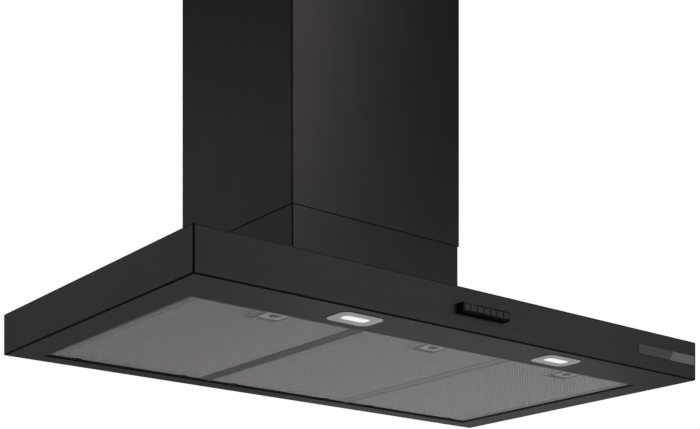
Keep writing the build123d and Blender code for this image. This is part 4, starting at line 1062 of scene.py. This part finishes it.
def filter_frame(number):
    """Rim, ledge and cover strip, with hinge notches and pins."""
    f = filter_layout(number)
    lo, hi = f["lo"], f["hi"]
    frame_block = block(lo, hi, FRAME_ROUND, along(2))
    face = block((f["face_lo"].x, f["face_lo"].y, lo.z - OVER),
                 (f["face_hi"].x, f["face_hi"].y, lo.z + POCKET))
    window = block((lo.x + COVER_STRIP, lo.y + CHANNEL, lo.z - OVER),
                   (hi.x - COVER_STRIP, hi.y - CHANNEL, hi.z + OVER))
    gap = Vector((CUP_GAP, CUP_GAP, 0.0))
    cup = block(f["cup_lo"] - gap, f["cup_hi"] + gap + Vector((0.0, 0.0, CUP_GAP)))
    slider_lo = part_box(f"filter_{number}_latch_slider")[0]
    slot = block((f["middle"].x - TONGUE_SLOT_HALF, lo.y - OVER, slider_lo.z - 0.2 * MM),
                 (f["middle"].x + TONGUE_SLOT_HALF, f["cup_lo"].y + BITE, slider_lo.z + 3.0 * MM))
    body = carve(frame_block, [face, window, cup, slot, *over_ears(f, hi.z + OVER)])
    pin = circle(f["axis_y"], (lo.z + hi.z) / 2, PIN_R, 20)
    pins = [prism(pin, x - NOTCH_HALF - PIN_BEYOND, x + NOTCH_HALF + PIN_BEYOND, 0) for x in f["ears"]]
    # Thin near-black strips along each back edge, and along the last filter's right edge: painted shade for
    # the dark gap lines there.
    low, high = lo.z - SHADE_STRIP_PROUD, lo.z + SHADE_STRIP_PROUD
    shade_strips = [block((lo.x + SHADE_STRIP_END, hi.y - SHADE_STRIP_WIDTH, low), (hi.x - SHADE_STRIP_END, hi.y - SHADE_STRIP_EDGE, high), tint=1)]
    if number == FILTER_COUNT:
        shade_strips.append(block((hi.x - SHADE_STRIP_WIDTH, lo.y + SHADE_STRIP_END, low),
                           (hi.x - SHADE_STRIP_EDGE, hi.y - SHADE_STRIP_END, high), tint=1))
    body = carve(carve(body, pins, "UNION"), shade_strips, "UNION")
    return carve(body, over_ears(f, high + 0.01 * MM))


# The first filter's rail takes a darker copy of the same finish: painted shade.
RAIL_FINISH = {1: FILTER_RAIL_PAINTED_SHADE, 2: FILTER_RAIL, 3: FILTER_RAIL}
for number in range(1, FILTER_COUNT + 1):
    finished(filter_frame(number), f"filter_{number}_frame_skin", f"filter_{number}",
             [RAIL_FINISH[number], PAINTED_SHADE_BLACK], [f"filter_{number}_frame"])

# %% [markdown]
# ## Filter faces
# The lower face, seen from the room, has a fine net. The upper face, seen only when the filter hangs open,
# has a coarser one. The cell sizes are fitted to a whole number of cells, so the net meets its rim cleanly.

# %% Nets and pleats
FINE_CELL = (5.2 * MM, 5.0 * MM)
COARSE_CELL = (12.0 * MM, 12.0 * MM)
STRAND = (1.15 * MM, 0.4 * MM)
STRAND_TILT = math.radians(24.0)
EAR_CLEAR = 0.3 * MM
NET_INSET = 0.6 * MM
PACK_SHEET = 0.35 * MM
PLEATS = 24
PLEAT_ROWS = 40


def net(number, cell, lo, hi, name):
    """One face of a filter as an expanded net between two corners."""
    f = filter_layout(number)
    width = hi.x - lo.x
    length = hi.y - lo.y
    columns = round(width / cell[0])
    rows = round(length / cell[1])
    cell_w = width / columns
    cell_l = length / rows
    clear = Vector((cell_w / 2 - 1.0 * MM, cell_l / 2, 1.0))
    latch_mid = f["cup_mid"] - Vector((0.0, cell_l / 4, 0.0))
    ear_half = Vector((NOTCH_HALF + cell_w / 2 + EAR_CLEAR, NOTCH_REACH + cell_l / 2 + EAR_CLEAR, 1.0))
    ears = {}
    for label, x in zip(("ear_a", "ear_b"), f["ears"]):
        ears[label + "_middle"] = Vector((x, f["axis_y"], 0.0))
        ears[label + "_half"] = ear_half
    return MESH_TREE.grow(empty_host(), name, middle=(lo + hi) / 2, width=width, length=length,
                          cell_width=cell_w, cell_length=cell_l, columns=columns, rows=rows,
                          strand_width=STRAND[0], strand_thickness=STRAND[1], strand_tilt=STRAND_TILT,
                          material=FILTER_STRAND, latch_middle=latch_mid,
                          latch_half=f["cup_half"] + clear, **ears)


def pack(number, name):
    """The pleated sheet between a filter's faces."""
    f = filter_layout(number)
    lo, hi = f["lo"], f["hi"]
    inner_lo = Vector((lo.x + COVER_STRIP + CUP_GAP, lo.y + CHANNEL + CUP_GAP, lo.z + 1.4 * MM))
    inner_hi = Vector((hi.x - COVER_STRIP - CUP_GAP, hi.y - CHANNEL - CUP_GAP, hi.z - 1.6 * MM))
    size = inner_hi - inner_lo
    clear = Vector((6.0 * MM, 6.0 * MM, 1.0))
    return PLEAT_TREE.grow(empty_host(), name, middle=(inner_lo + inner_hi) / 2, width=size.x, length=size.y,
                           height=size.z, folds=PLEATS, rows=PLEAT_ROWS, sheet=PACK_SHEET,
                           latch_middle=f["cup_mid"], latch_half=f["cup_half"] + clear, material=FILTER_SHEET)


for number in range(1, FILTER_COUNT + 1):
    f = filter_layout(number)
    low_z = f["lo"].z + NET_INSET
    high_z = f["hi"].z - NET_INSET
    face_lo = Vector((f["face_lo"].x, f["face_lo"].y, low_z))
    face_hi = Vector((f["face_hi"].x, f["face_hi"].y, low_z))
    top_lo = Vector((f["lo"].x + COVER_STRIP, f["lo"].y + CHANNEL, high_z))
    top_hi = Vector((f["hi"].x - COVER_STRIP, f["hi"].y - CHANNEL, high_z))
    body = f"filter_{number}"
    node = f"filter_{number}_mesh"
    faces = (("below", FINE_CELL, face_lo, face_hi), ("above", COARSE_CELL, top_lo, top_hi))
    for where, cell, lo, hi in faces:
        finished(net(number, cell, lo, hi, "net"), f"filter_{number}_net_{where}", body, [FILTER_STRAND],
                 [node])
    finished(pack(number, "pack"), f"filter_{number}_pleats", body, [FILTER_SHEET], [node])

# %% [markdown]
# ## Latches
# Each filter has a square cup near its front edge with a spring slider in it. A fingertip goes into the
# slider's half-moon grip and pulls it back, which draws its tongue in. The tongue's tip stops just short of
# the opening's folded edge: no catch is modelled.

# %% Latch cups and sliders
CUP_WALL = 1.5 * MM
GRIP_R = 8.0 * MM
GRIP_FRONT = 5.0 * MM
SLIDER_HALF = 15.0 * MM
SLIDER_LEN = 25.0 * MM
SLIDER_PLATE = 2.6 * MM
TONGUE_HALF = 7.0 * MM
TONGUE_THICK = 2.0 * MM
SLIDE_GAP = 0.4 * MM
TONGUE_RAISE = 0.3 * MM
SLIDER_WALL = 2.0 * MM


def latch_cup(number):
    """An open square cup with rounded corners and a slot for the tongue."""
    lo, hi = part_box(f"filter_{number}_latch_cup")
    outer = block(lo, hi, 1.8 * MM, along(2))
    inner = block((lo.x + CUP_WALL, lo.y + CUP_WALL, lo.z - OVER),
                  (hi.x - CUP_WALL, hi.y - CUP_WALL, hi.z - CUP_WALL), 1.0 * MM, along(2))
    slider_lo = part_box(f"filter_{number}_latch_slider")[0]
    mid = (lo.x + hi.x) / 2
    tongue_z = slider_lo.z + TONGUE_RAISE
    slot = block((mid - TONGUE_HALF - SLIDE_GAP, lo.y - OVER, tongue_z - SLIDE_GAP),
                 (mid + TONGUE_HALF + SLIDE_GAP, lo.y + 2 * CUP_WALL, tongue_z + TONGUE_THICK + SLIDE_GAP))
    return carve(outer, [inner, slot])


def latch_slider(number):
    """The finger plate with its grip, its back wall and its tongue."""
    lo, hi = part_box(f"filter_{number}_latch_slider")
    mid = (lo.x + hi.x) / 2
    front = hi.y - SLIDER_LEN
    plate = block((mid - SLIDER_HALF, front, lo.z), (mid + SLIDER_HALF, hi.y, lo.z + SLIDER_PLATE),
                  0.8 * MM, along(2))
    grip_y = front + GRIP_FRONT + SLIDER_LEN / 4
    arc = circle(mid, grip_y, GRIP_R, 25, 0.0, 180.0)
    flat_side = [(mid - GRIP_R, front + GRIP_FRONT), (mid + GRIP_R, front + GRIP_FRONT)]
    grip = prism([*arc, *flat_side], lo.z - OVER, lo.z + OVER)
    plate = carve(plate, [grip])
    wall = block((mid - SLIDER_HALF, hi.y - SLIDER_WALL, lo.z + BITE), (mid + SLIDER_HALF, hi.y, hi.z))
    tongue_z = lo.z + TONGUE_RAISE
    tongue = block((mid - TONGUE_HALF, lo.y, tongue_z),
                   (mid + TONGUE_HALF, front + BITE, tongue_z + TONGUE_THICK), 0.6 * MM, along(0))
    return carve(plate, [wall, tongue], "UNION")


for number in range(1, FILTER_COUNT + 1):
    finished(latch_cup(number), f"filter_{number}_cup_skin", f"filter_{number}", [LATCH_GREY],
             [f"filter_{number}_latch_cup"], 0.35 * MM)
    finished(latch_slider(number), f"filter_{number}_slider_skin", f"latch_{number}", [LATCH_GREY],
             [f"filter_{number}_latch_slider"], 0.3 * MM)

# %% [markdown]
# ## Lamps
# Two flush lamps sit in the front strip. Each has a satin face plate with round corners, a shallow well
# and a frosted window. The window glows a little by its own emission, so it reads as lit in any light.

# %% Bezels and windows
WINDOW_GAP = 0.2 * MM
WINDOW_R = 7.0 * MM
BEZEL_R = 12.0 * MM
SKIRT_INSET = 4.4 * MM
PLATE = 0.95 * MM


def bezel(side):
    """Face plate and skirt, with a window hole and a wider well above it."""
    lo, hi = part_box(f"lamp_{side}_bezel")
    lens_lo, lens_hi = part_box(f"lamp_{side}_lens")
    centre = (lo + hi) / 2
    wide = hi.x - lo.x
    deep = hi.y - lo.y
    plate = rounded_plate(centre, (wide, deep), BEZEL_R, lo.z, lo.z + PLATE, 12)
    skirt = rounded_plate(centre, (wide - 2 * SKIRT_INSET, deep - 2 * SKIRT_INSET), BEZEL_R - SKIRT_INSET,
                          lo.z + 0.0003, hi.z, 8)
    made = carve(plate, [skirt], "UNION")
    window = (lens_hi.x - lens_lo.x + 2 * WINDOW_GAP, lens_hi.y - lens_lo.y + 2 * WINDOW_GAP)
    hole = rounded_plate(centre, window, WINDOW_R, lo.z - OVER, lens_hi.z + 0.3 * MM, 10)
    well = rounded_plate(centre, (window[0] - 2.4 * MM, window[1] - 2.4 * MM), WINDOW_R - 1.2 * MM,
                         lens_hi.z, hi.z + OVER, 10)
    return carve(made, [hole, well])


def lens(side):
    """The frosted window."""
    lo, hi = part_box(f"lamp_{side}_lens")
    return rounded_plate((lo + hi) / 2, (hi.x - lo.x, hi.y - lo.y), WINDOW_R - WINDOW_GAP, lo.z, hi.z, 10)


for side in ("left", "right"):
    finished(bezel(side), f"lamp_{side}_bezel_skin", "canopy", [BEZEL_SATIN], [f"lamp_{side}_bezel"],
             0.3 * MM)
    finished(lens(side), f"lamp_{side}_window", "canopy", [LAMP_WINDOW], [f"lamp_{side}_lens"],
             0.25 * MM)

# %% [markdown]
# ## Push buttons
# Seven caps stand side by side in a slim housing that passes through the canopy's front and is clamped
# behind it by a flange. Each cap has softly rounded face edges and a round stem to its switch.

# %% Housing and caps
FLANGE_THICK = 1.5 * MM
FACE_ROUND = 1.3 * MM
HOUSING_WALL = 1.3 * MM
CAP_ROUND = 0.9 * MM
CAP_LEN = 12.0 * MM
STEM_R = 1.6 * MM
BUTTONS = 7


def housing():
    """A rectangular sleeve with a clamping flange."""
    lo, hi = BLOCK_LO, BLOCK_HI
    sleeve = block((-BLOCK_W_HALF, lo.y, -BLOCK_H_HALF), (BLOCK_W_HALF, hi.y, BLOCK_H_HALF), FACE_ROUND,
                   in_front(lo.y))
    flange_y = SHELL_LO.y + SHEET + 0.2 * MM
    flange = block((lo.x, flange_y, lo.z), (hi.x, flange_y + FLANGE_THICK, hi.z), 2.0 * MM, along(1))
    both = carve(sleeve, [flange], "UNION")
    inside = block((-BLOCK_W_HALF + HOUSING_WALL, lo.y - OVER, -BLOCK_H_HALF + HOUSING_WALL),
                   (BLOCK_W_HALF - HOUSING_WALL, hi.y + OVER, BLOCK_H_HALF - HOUSING_WALL))
    made = carve(both, [inside])
    # Every face but the front keeps slot 0, the near-black material: painted shade on the block's sides and
    # underside.
    for face in made.data.polygons:
        if face.normal.y < -0.95:
            face.material_index = 1
    return made


def cap(number):
    """One button: a cap with a rounded face, and its stem."""
    lo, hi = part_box(f"button_{number}")
    mid = (lo + hi) / 2
    face = block(lo, (hi.x, lo.y + CAP_LEN, hi.z), CAP_ROUND, in_front(lo.y))
    stem = prism(circle(mid.x, mid.z, STEM_R, 20), lo.y + CAP_LEN - BITE, hi.y, 1)
    return carve(face, [stem], "UNION")


finished(housing(), "button_housing_skin", "canopy", [PAINTED_SHADE_BLACK, BUTTON_FACE], ["button_housing"])
for number in range(1, BUTTONS + 1):
    finished(cap(number), f"button_{number}_cap", f"push_button_{number}", [BUTTON_FACE],
             [f"button_{number}"])

# %% [markdown]
# ## Trim strip
# Two thin satin plates are stuck to the front's right end. They meet on a slant: a dark one and a lighter
# one. Both stay blank.

# %% Trim plates
TRIM_SEAM = 0.2 * MM
TRIM_LEAN = 4.5 * MM
TRIM_DARK_L = 79.0 * MM


def trim_plate(dark):
    """One plate of the strip, cut on a slant where it meets the other."""
    lo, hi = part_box("trim_strip")
    split = lo.x + TRIM_DARK_L - TRIM_LEAN
    if dark:
        outline = [(lo.x, lo.z), (split - TRIM_LEAN, lo.z), (split + TRIM_LEAN, hi.z), (lo.x, hi.z)]
    else:
        outline = [(split - TRIM_LEAN + 2 * TRIM_SEAM, lo.z), (hi.x, lo.z), (hi.x, hi.z),
                   (split + TRIM_LEAN + 2 * TRIM_SEAM, hi.z)]
    return prism(outline, lo.y, hi.y, 1)


for tone, finish in (("dark", TRIM_DARK), ("light", TRIM_LIGHT)):
    finished(trim_plate(tone == "dark"), f"trim_plate_{tone}", "canopy", [finish], ["trim_strip"],
             0.3 * MM)

# %% [markdown]
# ## Screws
# All the screws are the same pan head with a cross recess. A tree puts one on every point and turns it
# along the point's own direction, so the same tree serves the ones that look up and the ones that look
# sideways. The points come from the solids of each CAD node.

# %% Screw tree
def screw_tree():
    """A domed head with a cross recess over a plain shank."""
    g = Grower("pan_screws", [("Head Radius", "Float"), ("Head Height", "Float"), ("Shank Radius", "Float"),
                              ("Shank Length", "Float"), ("Recess Width", "Float"), ("Material", "Material")])
    given = g.given
    rim_h = g.number("MULTIPLY", given["Head Height"], 0.5)
    rim = g.node("GeometryNodeMeshCylinder", {"Vertices": 24, "Radius": given["Head Radius"], "Depth": rim_h})
    rim_set = g.moved(rim.outputs["Mesh"], g.xyz(z=g.number("MULTIPLY", rim_h, 0.5)))
    dome = g.node("GeometryNodeMeshCone", {"Vertices": 24, "Side Segments": 1, "Fill Segments": 1,
                                           "Radius Top": g.number("MULTIPLY", given["Head Radius"], 0.66),
                                           "Radius Bottom": given["Head Radius"], "Depth": rim_h})
    dome_set = g.moved(dome.outputs["Mesh"], g.xyz(z=rim_h))
    slot_len = g.number("MULTIPLY", given["Head Radius"], 1.1)
    cuts = []
    for first, second in ((slot_len, given["Recess Width"]), (given["Recess Width"], slot_len)):
        bar = g.node("GeometryNodeMeshCube", {"Size": g.xyz(first, second, given["Head Height"])})
        cuts.append(g.moved(bar.outputs["Mesh"], g.xyz(z=given["Head Height"])))
    head = g.node("GeometryNodeMeshBoolean", {"Mesh 1": dome_set}, operation="DIFFERENCE")
    for cut in cuts:
        g.tree.links.new(cut, head.inputs["Mesh 2"])
    shank = g.node("GeometryNodeMeshCylinder", {"Vertices": 16, "Radius": given["Shank Radius"],
                                                "Depth": given["Shank Length"]})
    shank_set = g.moved(shank.outputs["Mesh"], g.xyz(z=g.number("MULTIPLY", given["Shank Length"], -0.5)))
    screw = g.join(head.outputs[0], rim_set, shank_set)
    way = g.node("GeometryNodeInputNamedAttribute", {"Name": "way_out"}, data_type="FLOAT_VECTOR")
    turn = g.node("FunctionNodeAlignRotationToVector", {"Vector": way.outputs["Attribute"]}, axis="Z")
    placed = g.node("GeometryNodeInstanceOnPoints", {"Points": given["Geometry"], "Instance": screw,
                                                     "Rotation": turn.outputs[0]})
    return g.end(placed.outputs[0])


HEAD_R = 3.6 * MM
HEAD_H = 2.2 * MM
SHANK_R = 1.9 * MM
RECESS = 0.9 * MM
SCREW_TREE = screw_tree()


def screws(node, body, sideways=False):
    """Every screw of one CAD node, seated where its solid is."""
    seats = []
    ways = []
    for lo, hi in islands(node):
        mid = (lo + hi) / 2
        if sideways:
            side = 1.0 if mid.x > 0 else -1.0
            face = hi.x if side > 0 else -lo.x
            seats.append((side * (face - HEAD_H), mid.y, mid.z))
            ways.append((side, 0.0, 0.0))
            length = face - HEAD_H - (lo.x if side > 0 else -hi.x)
        else:
            seats.append((mid.x, mid.y, hi.z - HEAD_H))
            ways.append((0.0, 0.0, 1.0))
            length = hi.z - HEAD_H - lo.z
    mesh = bpy.data.meshes.new("seats")
    mesh.from_pydata(seats, [], [])
    ahead = mesh.attributes.new("way_out", "FLOAT_VECTOR", "POINT")
    ahead.data.foreach_set("vector", [x for way in ways for x in way])
    grown_screws = SCREW_TREE.grow(link("seats", mesh), node, head_radius=HEAD_R, head_height=HEAD_H,
                                   shank_radius=SHANK_R, shank_length=length, recess_width=RECESS,
                                   material=SCREW_ZINC)
    return finished(grown_screws, node + "_skin", body, [SCREW_ZINC], [node])


for node in ("box_screws", "sleeve_screws", "collar_screws", "rail_screws"):
    screws(node, "canopy")
screws("bracket_screws", "chimney_top", sideways=True)

# %% [markdown]
# ## Finishes for the engineering pieces
# The fan, motor, brackets and boards keep their engineering shapes, which are already the real ones. They
# only need their finishes: galvanised sheet, zinc, lacquered iron, moulded plastic and green board.

# %% Remaining pieces
CARRIED_OVER = {
    # The hinge rail takes the dark coat so its ears do not show in the filters' notches: painted shade.
    STEEL_LEVEL: ["back_panel", "hinge_rail"],
    GALVANISED: ["air_box", "wall_plate", "ceiling_bracket", "fan_scroll", "motor_bracket",
                 "inlet_ring_left", "inlet_ring_right"],
    ZINC_WHEEL: ["impeller"],
    LACQUERED_IRON: ["motor"],
    GROUND_STEEL: ["motor_shaft", "flap_rod"],
    WHITE_CAN: ["capacitor"],
    BLACK_PLASTIC: ["duct_collar", "collar_plate", "electronics_case", "electronics_lid", "cable_gland"],
    FLAP_PLASTIC: ["flap_front", "flap_rear"],
    BOARD_GREEN: ["switch_board", "power_board"],
    SATIN_SILVER: ["lamp_left_board", "lamp_right_board"],
}
for material, names in CARRIED_OVER.items():
    for name in names:
        for slot in NODES[name].material_slots:
            slot.material = material
left_plain = [name for name, node in NODES.items() if not node.hide_render
              and name not in {n for names in CARRIED_OVER.values() for n in names}]
print("nodes without a finish:", left_plain)
